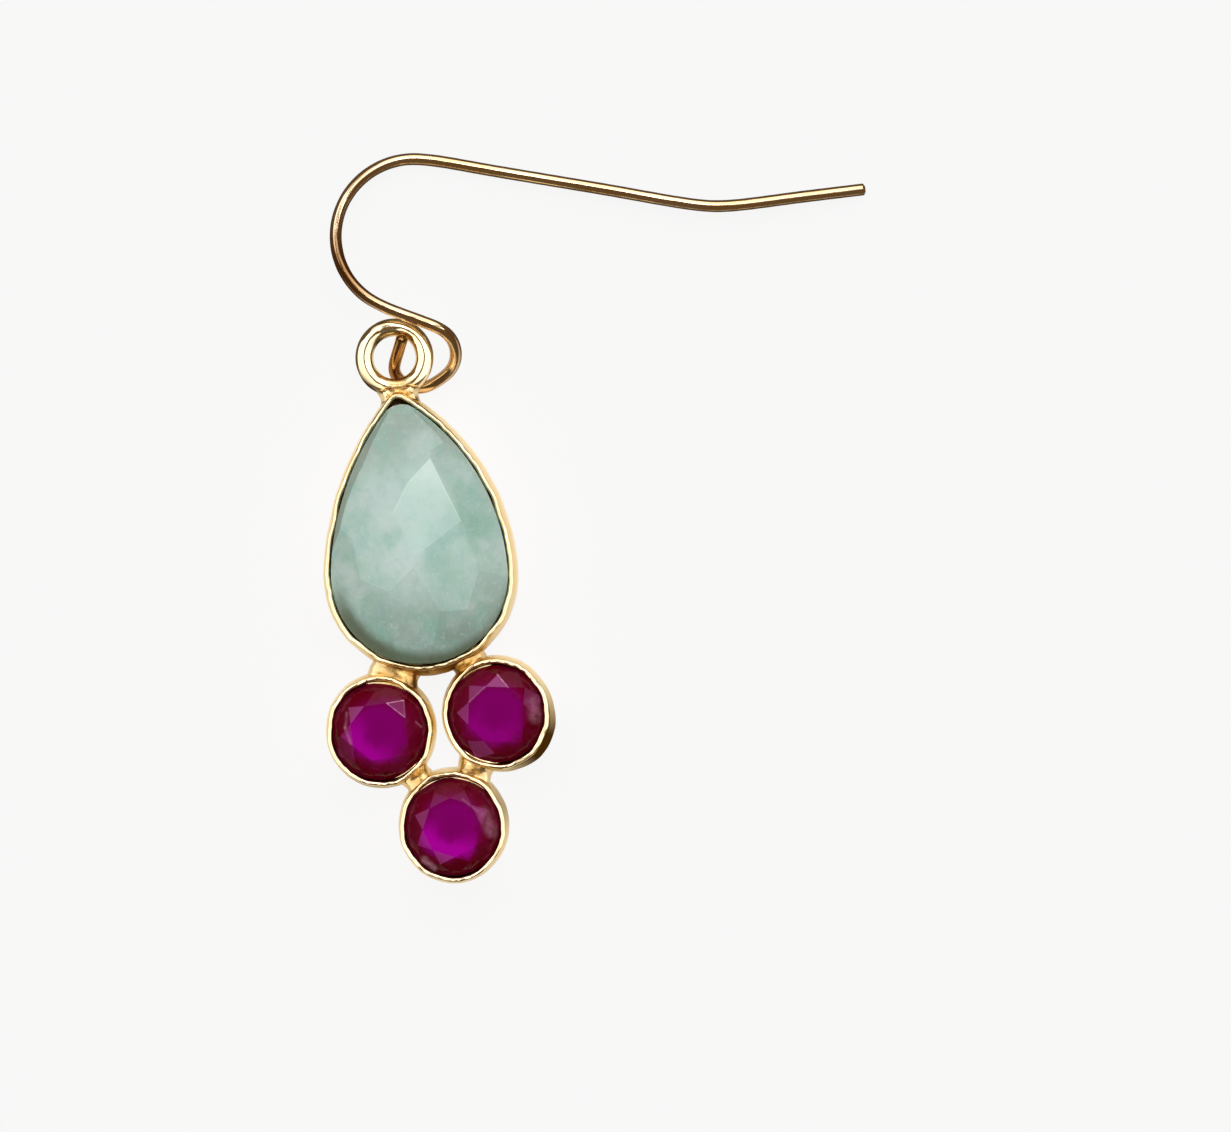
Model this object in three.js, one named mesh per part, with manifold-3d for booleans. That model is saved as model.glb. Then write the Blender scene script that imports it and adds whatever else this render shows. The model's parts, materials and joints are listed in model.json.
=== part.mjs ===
// A drop earring that lies face up on a flat surface, in millimetres.
//
// The pendant's long axis is +Y, its stones face +Z and the flat backs of its cups are on z = 0.
// The origin is on the pear cup's back and long axis, close to where the pear is widest.
//
//   setting             one soldered piece: a pear cup, three oval cups, a hanging ring, solder
//   pear_stone          opaque stone with broad flat facets on a low dome
//   round_stone_*       three faceted stones in the oval cups
//   ear_wire            one round wire: tail, leg, arch, shank and a loop through the hanging ring

import * as THREE from 'three';
import { mergeVertices } from 'three/addons/utils/BufferGeometryUtils.js';
import Module from 'manifold-3d';

// ---------------------------------------------------------------- driving dimensions

// Pear outline of the cup's lip: a round end, two long flanks and a small round tip, all arcs
const pear = {
  endCentreY: -0.9, endRadius: 4.79,
  tipY: 8.68, tipRadius: 0.35,
  leftFlankRadius: 15.5, rightFlankRadius: 11.5,
};
const pearSegments = { endHalf: 15, flank: 12, tipHalf: 3 };

// Heights are above the backs; offsets are outward from the lip's outline
const pearCup = { height: 3.0, lipOffset: 0.2, lipRound: 0.12, footOffset: 0.45, floor: 0.5 };
const roundCup = { height: 2.8, lipOffset: 0.18, lipRound: 0.1, footOffset: 0.4, floor: 0.5 };
const lipOval = { radiusX: 2.58, radiusY: 2.73 };
const ovalSegments = 44;
const stoneGap = 0.06;
const roundCups = [
  { name: 'left', x: -3.15, y: -8.9, facetTurn: 45 },
  { name: 'right', x: 3.15, y: -8.74, facetTurn: 81 },
  { name: 'bottom', x: 0.09, y: -14.45, facetTurn: 20 },
];

// Pear stone: upright side, steep belt, then facets that touch a low dome
const pearStone = { sideTop: 2.75, domeTop: 4.85, beltSlope: 2.0 };
const dome = { x: 0.05, y: 1.5, curveX: 6.0, curveY: 14.0 };

// Where the pear stone's facets touch the dome. Each axis is measured from the dome's middle and
// divided by the root of its curve; the first is the long kite near the middle.
const facetTouches = [
  [0.3, 0.3], [1.26, 0.8], [-0.17, 1.13], [-0.4, 0.95], [-0.78, -0.23], [0.67, -0.64],
  [0.95, 1.75], [-0.28, -1.25], [1.8, -0.28], [-1.3, 0.62], [-0.95, 1.7], [0.1, 2.1],
  [0.62, -1.75], [-1.15, -1.2], [1.55, -1.25], [-1.85, -0.35],
];

// Round stones: a table, star facets, main facets and girdle facets over a pointed underside
const roundStone = {
  girdleZ: 2.55, girdleThickness: 0.15, tableZ: 3.22, tableRadius: 1.58, culetZ: 0.62, culetRadius: 0.1,
};
const facetsAround = 8;
const starSlope = 0.4;
const girdleFacetSlope = 0.95;

// Hanging ring and the solder that joins everything
const ring = { x: 0.06, y: 10.9, z: 1.6, radius: 1.62, wireRadius: 0.485 };
const ringSegments = { section: 12, round: 40 };
const neck = { width: 1.9, startY: 8.0, endY: 9.35, height: 0.9 };
const solder = { radius: 1.05, z: 1.3, bite: 0.45, sides: 16 };

// Ear wire
const wireRadius = 0.325;
const tail = { endX: 26.34, y: 16.85, bendX: 18.1, bendSetback: 1.4, pointAt: 0.4 };
const legPointsAt = [0.4, 0.75];
const arch = { x: 1.88, y: 17.31, radius: 4.2, startAngle: 73.2, endAngle: 241.9, steps: 10 };
const shankLength = 3.09;
const turn = { radius: 1.43, sweep: 130, steps: 6 };

// Points that the loop passes, measured on the plan from the ring's centre. The level is 'under' the
// ring's lower band, 'over' its upper band or at the ring's 'middle', and rise is added to it.
const loopPoints = [
  { x: 1.34, y: -1.78, level: 'under', rise: 0 },
  { x: 0.76, y: -1.68, level: 'under', rise: 0 },
  { x: 0.32, y: -1.4, level: 'under', rise: 0 },
  { x: -0.09, y: -0.98, level: 'under', rise: 0.1 },
  { x: -0.13, y: -0.55, level: 'under', rise: 0.45 },
  { x: 0.2, y: 0.19, level: 'middle', rise: 0.15 },
  { x: 0.45, y: 0.68, level: 'over', rise: -0.3 },
  { x: 0.61, y: 1.02, level: 'over', rise: 0 },
];
const floorClearance = 0.02;
const hookLean = 0.225;
const crossingGap = 0.12;

// ---------------------------------------------------------------- outlines

const degrees = (value) => THREE.MathUtils.degToRad(value);

function arcPoints(centreX, centreY, radius, from, to, segments) {
  const points = [];
  for (let i = 0; i <= segments; i += 1) {
    const angle = from + ((to - from) * i) / segments;
    const x = centreX + radius * Math.cos(angle);
    const y = centreY + radius * Math.sin(angle);
    points.push(new THREE.Vector2(x, y));
  }
  return points;
}

// The flank arc touches both the end circle and the tip circle from outside, so its centre is where
// a circle of radius R - end about the end's centre meets one of radius R - tip about the tip's.
function flankCentre(flankRadius) {
  const tipCentreY = pear.tipY - pear.tipRadius;
  const toEnd = flankRadius - pear.endRadius;
  const toTip = flankRadius - pear.tipRadius;
  const span = tipCentreY - pear.endCentreY;
  const along = (toEnd ** 2 - toTip ** 2 + span ** 2) / (2 * span);
  return { x: -Math.sqrt(toEnd ** 2 - along ** 2), y: pear.endCentreY + along };
}

function pearSide(flankRadius, offset) {
  const tipCentreY = pear.tipY - pear.tipRadius;
  const centre = flankCentre(flankRadius);
  const leavesEnd = Math.atan2(pear.endCentreY - centre.y, -centre.x);
  const meetsTip = Math.atan2(tipCentreY - centre.y, -centre.x);
  const { endHalf, flank, tipHalf } = pearSegments;
  const endRadius = pear.endRadius + offset;
  const tipRadius = pear.tipRadius + offset;
  return [
    ...arcPoints(0, pear.endCentreY, endRadius, -Math.PI / 2, leavesEnd, endHalf),
    ...arcPoints(centre.x, centre.y, flankRadius + offset, leavesEnd, meetsTip, flank).slice(1),
    ...arcPoints(0, tipCentreY, tipRadius, meetsTip, Math.PI / 2, tipHalf).slice(1),
  ];
}

function pearOutline(offset) {
  const right = pearSide(pear.rightFlankRadius, offset);
  const left = pearSide(pear.leftFlankRadius, offset);
  left.forEach((point) => point.setX(-point.x));
  return [...right, ...left.reverse().slice(1, -1)];
}

function ovalOutline(offset) {
  const points = [];
  for (let i = 0; i < ovalSegments; i += 1) {
    const angle = (2 * Math.PI * i) / ovalSegments;
    const x = (lipOval.radiusX + offset) * Math.cos(angle);
    const y = (lipOval.radiusY + offset) * Math.sin(angle);
    points.push(new THREE.Vector2(x, y));
  }
  return points;
}

// ---------------------------------------------------------------- solids

const wasm = await Module();
wasm.setup();

// A closed body through outlines of equal point count, one for each level from the lowest up
function loft(outline, levels) {
  const rings = levels.map((level) => outline(level.offset));
  const count = rings[0].length;
  const vertices = [];
  const triangles = [];
  rings.forEach((points, k) => {
    points.forEach((point) => vertices.push(point.x, point.y, levels[k].z));
  });
  for (let k = 0; k + 1 < rings.length; k += 1) {
    for (let i = 0; i < count; i += 1) {
      const a = k * count + i;
      const b = k * count + ((i + 1) % count);
      triangles.push(a, b, b + count, a, b + count, a + count);
    }
  }
  const top = (rings.length - 1) * count;
  for (const [a, b, c] of THREE.ShapeUtils.triangulateShape(rings[0], [])) {
    triangles.push(a, c, b);
  }
  for (const [a, b, c] of THREE.ShapeUtils.triangulateShape(rings.at(-1), [])) {
    triangles.push(top + a, top + b, top + c);
  }
  const geometry = new THREE.BufferGeometry();
  geometry.setAttribute('position', new THREE.Float32BufferAttribute(vertices, 3));
  geometry.setIndex(triangles);
  return geometry;
}

const weldDistance = 1e-5;
function toSolid(source) {
  const geometry = source.clone();
  geometry.deleteAttribute('normal');
  geometry.deleteAttribute('uv');
  const merged = mergeVertices(geometry, weldDistance);
  const vertProperties = new Float32Array(merged.attributes.position.array);
  const triVerts = new Uint32Array(merged.index.array);
  return new wasm.Manifold(new wasm.Mesh({ numProp: 3, vertProperties, triVerts }));
}

function toGeometry(solid) {
  const mesh = solid.getMesh();
  const positions = Float32Array.from(mesh.vertProperties);
  const geometry = new THREE.BufferGeometry();
  geometry.setAttribute('position', new THREE.BufferAttribute(positions, 3));
  geometry.setIndex(new THREE.BufferAttribute(Uint32Array.from(mesh.triVerts), 1));
  return geometry;
}

// Grinds a flat facet: all of the stone above z = height - slopeX * x - slopeY * y comes off
const grinderSize = 60;
const upward = new THREE.Vector3(0, 0, 1);
function grind(stone, slopeX, slopeY, height) {
  const normal = new THREE.Vector3(slopeX, slopeY, 1).normalize();
  const block = new THREE.BoxGeometry(grinderSize, grinderSize, grinderSize);
  block.translate(0, 0, grinderSize / 2);
  block.applyQuaternion(new THREE.Quaternion().setFromUnitVectors(upward, normal));
  block.translate(0, 0, height);
  return stone.subtract(toSolid(block));
}

// ---------------------------------------------------------------- setting

function cupBody(outline, cup) {
  return toSolid(loft(outline, [
    { z: 0, offset: cup.footOffset },
    { z: cup.height - cup.lipRound, offset: cup.lipOffset },
    { z: cup.height, offset: cup.lipOffset - cup.lipRound },
  ]));
}

const overshoot = 1;
function cupRecess(outline, cup) {
  return toSolid(loft(outline, [
    { z: cup.floor, offset: 0 },
    { z: cup.height + overshoot, offset: 0 },
  ]));
}

// A round bar of solder between two walls, given where it starts and ends on the plan
function solderBar(from, to) {
  const direction = to.clone().sub(from);
  const { radius, sides } = solder;
  const bar = new THREE.CylinderGeometry(radius, radius, direction.length(), sides);
  const middle = from.clone().add(to).multiplyScalar(0.5);
  bar.rotateZ(Math.atan2(direction.y, direction.x) - Math.PI / 2);
  bar.translate(middle.x, middle.y, solder.z);
  return toSolid(bar);
}

function cupCentre(cup) {
  return new THREE.Vector2(cup.x, cup.y);
}

// The bar runs along the line between two round walls and bites into both of them
function solderBetween(centreA, radiusA, centreB, radiusB) {
  const direction = centreB.clone().sub(centreA).normalize();
  const from = centreA.clone().addScaledVector(direction, radiusA - solder.bite);
  const to = centreB.clone().addScaledVector(direction, -(radiusB - solder.bite));
  return solderBar(from, to);
}

function makeSetting() {
  const [left, right, bottom] = roundCups.map(cupCentre);
  const pearEnd = new THREE.Vector2(0, pear.endCentreY);
  const pearRadius = pear.endRadius + pearCup.lipOffset;
  const roundRadius = (lipOval.radiusX + lipOval.radiusY) / 2 + roundCup.lipOffset;
  const { section, round } = ringSegments;
  const hangingRing = new THREE.TorusGeometry(ring.radius, ring.wireRadius, section, round);
  hangingRing.translate(ring.x, ring.y, ring.z);
  const neckBlock = new THREE.BoxGeometry(neck.width, neck.endY - neck.startY, neck.height);
  neckBlock.translate(ring.x, (neck.startY + neck.endY) / 2, ring.z);

  let metal = cupBody(pearOutline, pearCup).add(toSolid(hangingRing)).add(toSolid(neckBlock));
  for (const cup of roundCups) {
    metal = metal.add(cupBody(ovalOutline, roundCup).translate(cup.x, cup.y, 0));
  }
  metal = metal
    .add(solderBetween(pearEnd, pearRadius, left, roundRadius))
    .add(solderBetween(pearEnd, pearRadius, right, roundRadius))
    .add(solderBetween(left, roundRadius, bottom, roundRadius))
    .add(solderBetween(right, roundRadius, bottom, roundRadius));
  metal = metal.subtract(cupRecess(pearOutline, pearCup));
  for (const cup of roundCups) {
    metal = metal.subtract(cupRecess(ovalOutline, roundCup).translate(cup.x, cup.y, 0));
  }
  return toGeometry(metal);
}

// ---------------------------------------------------------------- stones

// The dome is z = top - (x^2 / curveX + y^2 / curveY) / 2 about its own centre. Facets that touch
// it meet half way between their touching points, once each axis is shrunk by the root of its curve.
function makePearStone() {
  let stone = toSolid(loft(pearOutline, [
    { z: pearCup.floor + stoneGap, offset: -stoneGap },
    { z: pearStone.domeTop + overshoot, offset: -stoneGap },
  ]));
  const girdle = pearOutline(-stoneGap);
  girdle.forEach((corner, i) => {
    const edge = girdle[(i + 1) % girdle.length].clone().sub(corner).normalize();
    const slopeX = pearStone.beltSlope * edge.y;
    const slopeY = -pearStone.beltSlope * edge.x;
    stone = grind(stone, slopeX, slopeY, pearStone.sideTop + slopeX * corner.x + slopeY * corner.y);
  });
  for (const [u, v] of facetTouches) {
    const slopeX = u / Math.sqrt(dome.curveX);
    const slopeY = v / Math.sqrt(dome.curveY);
    const touch = pearStone.domeTop - (u * u + v * v) / 2;
    const x = dome.x + slopeX * dome.curveX;
    const y = dome.y + slopeY * dome.curveY;
    stone = grind(stone, slopeX, slopeY, touch + slopeX * x + slopeY * y);
  }
  return toGeometry(stone);
}

function grindAround(stone, count, firstAngle, slope, height) {
  let ground = stone;
  for (let i = 0; i < count; i += 1) {
    const angle = firstAngle + (2 * Math.PI * i) / count;
    ground = grind(ground, slope * Math.cos(angle), slope * Math.sin(angle), height);
  }
  return ground;
}

function makeRoundStone(cup) {
  const firstFacet = degrees(cup.facetTurn);
  const halfStep = Math.PI / facetsAround;
  const { girdleZ, girdleThickness, tableZ, tableRadius, culetZ, culetRadius } = roundStone;
  const girdleRadius = lipOval.radiusX - stoneGap;
  const tableEdge = tableRadius * Math.cos(halfStep);
  const mainSlope = (tableZ - girdleZ) / (girdleRadius - tableRadius);
  const starTip = (tableEdge * starSlope - tableRadius * mainSlope)
    / (starSlope - mainSlope * Math.cos(halfStep));
  const starTipZ = tableZ - starSlope * (starTip - tableEdge);
  let stone = toSolid(loft(ovalOutline, [
    { z: culetZ, offset: culetRadius - lipOval.radiusX },
    { z: girdleZ - girdleThickness, offset: -stoneGap },
    { z: tableZ, offset: -stoneGap },
  ]));
  stone = grind(stone, 0, 0, tableZ);
  const starHeight = tableZ + starSlope * tableEdge;
  stone = grindAround(stone, facetsAround, firstFacet, starSlope, starHeight);
  const mainHeight = tableZ + mainSlope * tableRadius;
  stone = grindAround(stone, facetsAround, firstFacet + halfStep, mainSlope, mainHeight);
  const girdleHeight = starTipZ + girdleFacetSlope * starTip * Math.cos(halfStep / 2);
  for (const side of [-halfStep / 2, halfStep / 2]) {
    stone = grindAround(stone, facetsAround, firstFacet + side, girdleFacetSlope, girdleHeight);
  }
  return toGeometry(stone).translate(cup.x, cup.y, 0);
}

// ---------------------------------------------------------------- ear wire

// The hook is flat and leans on two points of the surface, the arch's crown and the tail's end:
// its height grows with the distance from the line between them.
const crown = new THREE.Vector2(arch.x, arch.y + arch.radius);
const tailEnd = new THREE.Vector2(tail.endX, tail.y);
const contactLine = tailEnd.clone().sub(crown).normalize();
function hookHeight(point) {
  const distance = contactLine.y * (point.x - crown.x) - contactLine.x * (point.y - crown.y);
  return wireRadius + floorClearance + hookLean * Math.max(distance, 0);
}

function lift(point, z) {
  return new THREE.Vector3(point.x, point.y, z);
}

// The route runs from the tail's end to the loop's end. The loop dips under the ring's lower band,
// comes up through its hole and ends above its upper band, clear of both by the crossing gap.
function wireRoute() {
  const archStart = degrees(arch.startAngle);
  const archPoints = arcPoints(arch.x, arch.y, arch.radius, archStart, degrees(arch.endAngle), arch.steps);
  const [legStart] = archPoints;
  const bend = new THREE.Vector2(tail.bendX, tail.y);
  const legDirection = legStart.clone().sub(bend).normalize();
  const heading = degrees(arch.endAngle + 90);
  const archEnd = archPoints.at(-1);
  const shankDirection = new THREE.Vector2(Math.cos(heading), Math.sin(heading));
  const shankEnd = archEnd.clone().addScaledVector(shankDirection, shankLength);
  const plan = [
    tailEnd,
    tailEnd.clone().lerp(bend, tail.pointAt),
    new THREE.Vector2(tail.bendX + tail.bendSetback, tail.y),
    bend.clone().addScaledVector(legDirection, tail.bendSetback),
    ...legPointsAt.map((share) => bend.clone().lerp(legStart, share)),
    ...archPoints,
    archEnd.clone().add(shankEnd).multiplyScalar(0.5),
  ];
  const route = plan.map((point) => lift(point, hookHeight(point)));

  const reach = ring.wireRadius + wireRadius + crossingGap;
  const levels = { under: ring.z - reach, middle: ring.z, over: ring.z + reach };
  const turnX = shankEnd.x + turn.radius * Math.sin(heading);
  const turnY = shankEnd.y - turn.radius * Math.cos(heading);
  const turnStart = heading + Math.PI / 2;
  const turnEnd = turnStart - degrees(turn.sweep);
  const startZ = hookHeight(shankEnd);
  arcPoints(turnX, turnY, turn.radius, turnStart, turnEnd, turn.steps).forEach((point, i) => {
    const share = THREE.MathUtils.smoothstep(i / turn.steps, 0, 1);
    route.push(lift(point, THREE.MathUtils.lerp(startZ, levels.under, share)));
  });
  for (const { x, y, level, rise } of loopPoints) {
    route.push(new THREE.Vector3(ring.x + x, ring.y + y, levels[level] + rise));
  }
  return new THREE.CatmullRomCurve3(route, false, 'centripetal');
}

const wireSides = 10;
const wireSteps = 100;
function makeEarWire() {
  const section = new THREE.Shape(arcPoints(0, 0, wireRadius, 0, 2 * Math.PI, wireSides).slice(1));
  return new THREE.ExtrudeGeometry(section, {
    steps: wireSteps, bevelEnabled: false, extrudePath: wireRoute(),
  });
}

// ---------------------------------------------------------------- materials and assembly

const paleGold = { color: 0xe9c46a, metalness: 1, roughness: 0.2 };
const roseGold = { color: 0xe0a878, metalness: 1, roughness: 0.22 };
const greyGreenStone = { color: 0x96b4aa, metalness: 0, roughness: 0.25 };
const crimsonStone = { color: 0x7c0a5c, metalness: 0, roughness: 0.08 };

const group = new THREE.Group();
function addPiece(name, geometry, finish) {
  const mesh = new THREE.Mesh(geometry, new THREE.MeshStandardMaterial(finish));
  mesh.name = name;
  group.add(mesh);
}

addPiece('setting', makeSetting(), paleGold);
addPiece('pear_stone', makePearStone(), greyGreenStone);
for (const cup of roundCups) {
  addPiece(`round_stone_${cup.name}`, makeRoundStone(cup), crimsonStone);
}
addPiece('ear_wire', makeEarWire(), roseGold);

export default group;
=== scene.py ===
# %% [markdown]
# A gold-plated drop earring lies face up on a pale table. A pear-shaped stone sits in a thin
# metal cup, three round stones hang below it in cups of their own, and a long ear wire passes
# through a ring at the top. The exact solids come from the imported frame. This script gives them
# the looks: finer metal, cut stones, finishes, a table, light and a camera.

# %% The frame
import json
import math

import bpy
import numpy as np
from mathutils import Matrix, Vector

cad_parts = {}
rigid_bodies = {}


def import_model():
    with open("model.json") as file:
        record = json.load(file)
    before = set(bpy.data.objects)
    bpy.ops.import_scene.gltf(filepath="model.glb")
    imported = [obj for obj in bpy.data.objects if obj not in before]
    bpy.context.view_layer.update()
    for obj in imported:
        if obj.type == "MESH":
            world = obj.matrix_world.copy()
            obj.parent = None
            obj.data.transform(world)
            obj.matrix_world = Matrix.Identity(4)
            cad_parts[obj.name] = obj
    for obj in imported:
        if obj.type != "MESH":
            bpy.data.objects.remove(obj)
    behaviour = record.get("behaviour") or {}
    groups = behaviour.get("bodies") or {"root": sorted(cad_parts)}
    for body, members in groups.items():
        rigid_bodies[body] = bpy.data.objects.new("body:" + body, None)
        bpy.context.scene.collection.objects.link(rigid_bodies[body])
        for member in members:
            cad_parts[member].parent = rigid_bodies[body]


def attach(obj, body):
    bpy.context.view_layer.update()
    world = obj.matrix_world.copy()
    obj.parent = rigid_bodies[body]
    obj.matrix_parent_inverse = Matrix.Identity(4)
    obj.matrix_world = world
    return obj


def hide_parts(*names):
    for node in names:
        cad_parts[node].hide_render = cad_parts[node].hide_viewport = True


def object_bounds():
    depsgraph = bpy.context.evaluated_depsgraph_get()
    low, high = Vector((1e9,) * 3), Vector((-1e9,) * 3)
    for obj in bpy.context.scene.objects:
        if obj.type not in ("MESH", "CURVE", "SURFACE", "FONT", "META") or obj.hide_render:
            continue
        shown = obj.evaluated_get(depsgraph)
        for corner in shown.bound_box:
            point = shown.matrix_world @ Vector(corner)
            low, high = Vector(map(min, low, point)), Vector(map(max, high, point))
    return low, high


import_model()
cad_low, cad_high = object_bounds()
print("frame box in mm:", [round(1000 * v, 2) for v in (*cad_low, *cad_high)])

# %% [markdown]
# The real piece is small, so lengths are written in millimetres and turned into metres only when
# a mesh is made. Only the camera, the screens and the table's width are in metres. The numbers
# below repeat the solids' driving dimensions.

# %% Dimensions
MM = 0.001

PEAR = dict(end_y=-0.9, end_radius=4.79, tip_y=8.68, tip_radius=0.35, left=15.5, right=11.5)
OVAL = (2.58, 2.73)
CUPS = {
    "left": dict(centre=(-3.15, -8.9), turn=45.0),
    "right": dict(centre=(3.15, -8.74), turn=81.0),
    "bottom": dict(centre=(0.09, -14.45), turn=20.0),
}
PEAR_CUP_HEIGHT = 3.0
ROUND_CUP_HEIGHT = 2.8
CUP_FLOOR = 0.5
STONE_GAP = 0.06
RING = dict(centre=(0.06, 10.9, 1.6), radius=1.62, wire=0.485)
WIRE_RADIUS = 0.325

# %% [markdown]
# The camera looks straight down on the table, turned a little so that the drop hangs slightly to
# the right, as the earring was laid. A long lens far away keeps the small heights from leaning
# out. These four values are in metres and degrees.

# %% Camera
CAMERA_HEIGHT = 0.25
VIEW_WIDTH = 0.06654
AIM_FROM_CENTRE = (0.00035, -0.0038)
CAMERA_TURN = -7.08

camera_data = bpy.data.cameras.new("camera")
camera_data.sensor_fit = "HORIZONTAL"
camera_data.lens = camera_data.sensor_width * CAMERA_HEIGHT / VIEW_WIDTH
camera_data.clip_start = 0.01
camera = bpy.data.objects.new("camera", camera_data)
middle = (cad_low + cad_high) / 2
camera.location = (middle.x + AIM_FROM_CENTRE[0], middle.y + AIM_FROM_CENTRE[1], CAMERA_HEIGHT)
camera.rotation_euler = (0, 0, math.radians(CAMERA_TURN))
bpy.context.scene.collection.objects.link(camera)
bpy.context.scene.camera = camera
bpy.context.scene.view_settings.view_transform = "Standard"
print("camera above", [round(1000 * v, 2) for v in camera.location])

# %% [markdown]
# Finishes are built from nodes. Writing shader maths as plain Python sums is easier to read than
# wiring Math nodes by hand, so a small class wraps a socket and answers to the usual signs.

# %% Shader sums
class Field:
    """A node socket in a sum. Each sign adds one Math node to the socket's own tree."""

    def __init__(self, socket):
        self.socket = socket

    def _math(self, operation, *values):
        tree = self.socket.id_data
        node = tree.nodes.new("ShaderNodeMath")
        node.operation = operation
        for slot, value in zip(node.inputs, values):
            if isinstance(value, Field):
                tree.links.new(value.socket, slot)
            else:
                slot.default_value = value
        return Field(node.outputs[0])

    def __add__(self, other):
        return self._math("ADD", self, other)

    def __sub__(self, other):
        return self._math("SUBTRACT", self, other)

    def __rsub__(self, other):
        return self._math("SUBTRACT", other, self)

    def __mul__(self, other):
        return self._math("MULTIPLY", self, other)

    def __abs__(self):
        return self._math("ABSOLUTE", self)

    __radd__ = __add__
    __rmul__ = __mul__

    def at_most(self, other):
        return self._math("MINIMUM", self, other)

    def at_least(self, other):
        return self._math("MAXIMUM", self, other)


# %% [markdown]
# Every other node comes from one method, add(). The short methods after it are the few steps that
# each finish repeats, so that a finish reads as a recipe: a base and the coats that lie on it.

# %% Bench
class Bench:
    """A node tree on the bench. add() makes any node: its settings first, then its sockets."""

    def __init__(self, tree):
        self.tree = tree
        self.tree.nodes.clear()

    def add(self, kind, settings=None, sockets=None):
        node = self.tree.nodes.new(kind)
        for key, value in (settings or {}).items():
            if key == "stops":
                self._set_stops(node.color_ramp, value)
            else:
                setattr(node, key, value)
        for key, value in (sockets or {}).items():
            if isinstance(value, Field):
                value = value.socket
            if isinstance(value, bpy.types.NodeSocket):
                self.tree.links.new(value, node.inputs[key])
            else:
                node.inputs[key].default_value = value
        return node

    @staticmethod
    def _set_stops(ramp, stops):
        for place, _ in stops[2:]:
            ramp.elements.new(place)
        for element, (place, colour) in zip(ramp.elements, stops):
            element.position = place
            element.color = (*colour, 1)

    def blend(self, share, first, second):
        """Mixes two colours: all first where share is 0 and all second where it is 1."""
        first, second = ((*c, 1) if isinstance(c, tuple) else c for c in (first, second))
        node = self.add("ShaderNodeMix", {"data_type": "RGBA"}, {0: share, 6: first, 7: second})
        return node.outputs[2]

    def paint(self, base, *coats):
        """Lays coats on a base colour in turn. Each coat is a share and a colour."""
        for share, colour in coats:
            base = self.blend(share, base, colour)
        return base

    def smooth(self, value, low, high):
        """A soft step: 0 below low, 1 above high, with no kink at either end."""
        node = self.add("ShaderNodeMapRange", {"interpolation_type": "SMOOTHSTEP"},
                        {"Value": value, "From Min": low, "From Max": high})
        return Field(node.outputs["Result"])

    def noise(self, place, scale, detail=2.0, roughness=0.5, distortion=0.0):
        node = self.add("ShaderNodeTexNoise", {}, {
            "Vector": place, "Scale": scale, "Detail": detail,
            "Roughness": roughness, "Distortion": distortion})
        return Field(node.outputs["Fac"])

    def own(self, name):
        """A number that the mesh itself carries at each point or face."""
        return Field(self.add("ShaderNodeAttribute", {"attribute_name": name}).outputs["Fac"])

    def vector(self, operation, *values, scale=None):
        """One Vector Math node. Lengths, distances and dot products come back as numbers."""
        sockets = dict(enumerate(values))
        if scale is not None:
            sockets["Scale"] = scale
        node = self.add("ShaderNodeVectorMath", {"operation": operation}, sockets)
        if operation in ("LENGTH", "DISTANCE", "DOT_PRODUCT"):
            return Field(node.outputs["Value"])
        return node.outputs["Vector"]

    def parts(self, vector):
        """The x, y and z of a vector as three numbers."""
        return [Field(part) for part in self.add("ShaderNodeSeparateXYZ", {}, {0: vector}).outputs]

    def on_plan(self, place):
        """The place with its height taken away."""
        return self.vector("MULTIPLY", place, (1, 1, 0))

    def place_in_mm(self, shift=(0, 0, 0), stretch=(1, 1, 1)):
        """Object coordinates in millimetres, measured from a point and stretched."""
        where = self.add("ShaderNodeTexCoord").outputs["Object"]
        node = self.add("ShaderNodeMapping", {"vector_type": "TEXTURE"}, {
            "Vector": self.vector("SCALE", where, scale=1 / MM), "Location": shift, "Scale": stretch})
        return node.outputs[0]

    def bump(self, height, strength, distance):
        """The surface's direction after a height is laid on it; the distance is in millimetres."""
        node = self.add("ShaderNodeBump", {}, {
            "Strength": strength, "Distance": distance * MM, "Height": height})
        return node.outputs["Normal"]

    def principled(self, sockets):
        return self.add("ShaderNodeBsdfPrincipled", {}, sockets).outputs[0]

    def mix_shaders(self, share, first, second):
        return self.add("ShaderNodeMixShader", {}, {0: share, 1: first, 2: second}).outputs[0]

    def seen_directly(self):
        """1 for what the viewer sees straight on and 0 for what shows as light or in polish."""
        return self.add("ShaderNodeLightPath").outputs["Is Camera Ray"]


def new_finish(name):
    """An empty material with its bench."""
    material = bpy.data.materials.new(name)
    material.use_nodes = True
    return material, Bench(material.node_tree)


def close_finish(bench, surface):
    """Links the last shader to the material's output."""
    bench.add("ShaderNodeOutputMaterial", {}, {"Surface": surface})


# %% [markdown]
# The cups, the ring and the solder were plated together in pale yellow gold, over castings that
# were never quite smooth. Plating turns amber where the solder ran. Painted shade darkens creases,
# the insides of the cups, one side of some walls and patches beside the joints: a dull brown second
# shader laid over the gold. The meshes carry two numbers for that, one for the stain and one for
# the painted shade, so the colour follows the joints exactly.

# %% Pale gold
GOLD = dict(yellow=(0.93, 0.77, 0.46), cream=(0.96, 0.83, 0.57), amber=(0.60, 0.33, 0.07),
            edge=(0.97, 0.88, 0.68, 1.0))
# Painted shade: the two browns of the dull shader laid over the gold.
PAINTED_SHADE_DARK, PAINTED_SHADE_LIGHT = (0.034, 0.010, 0.001), (0.075, 0.036, 0.004)


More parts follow.
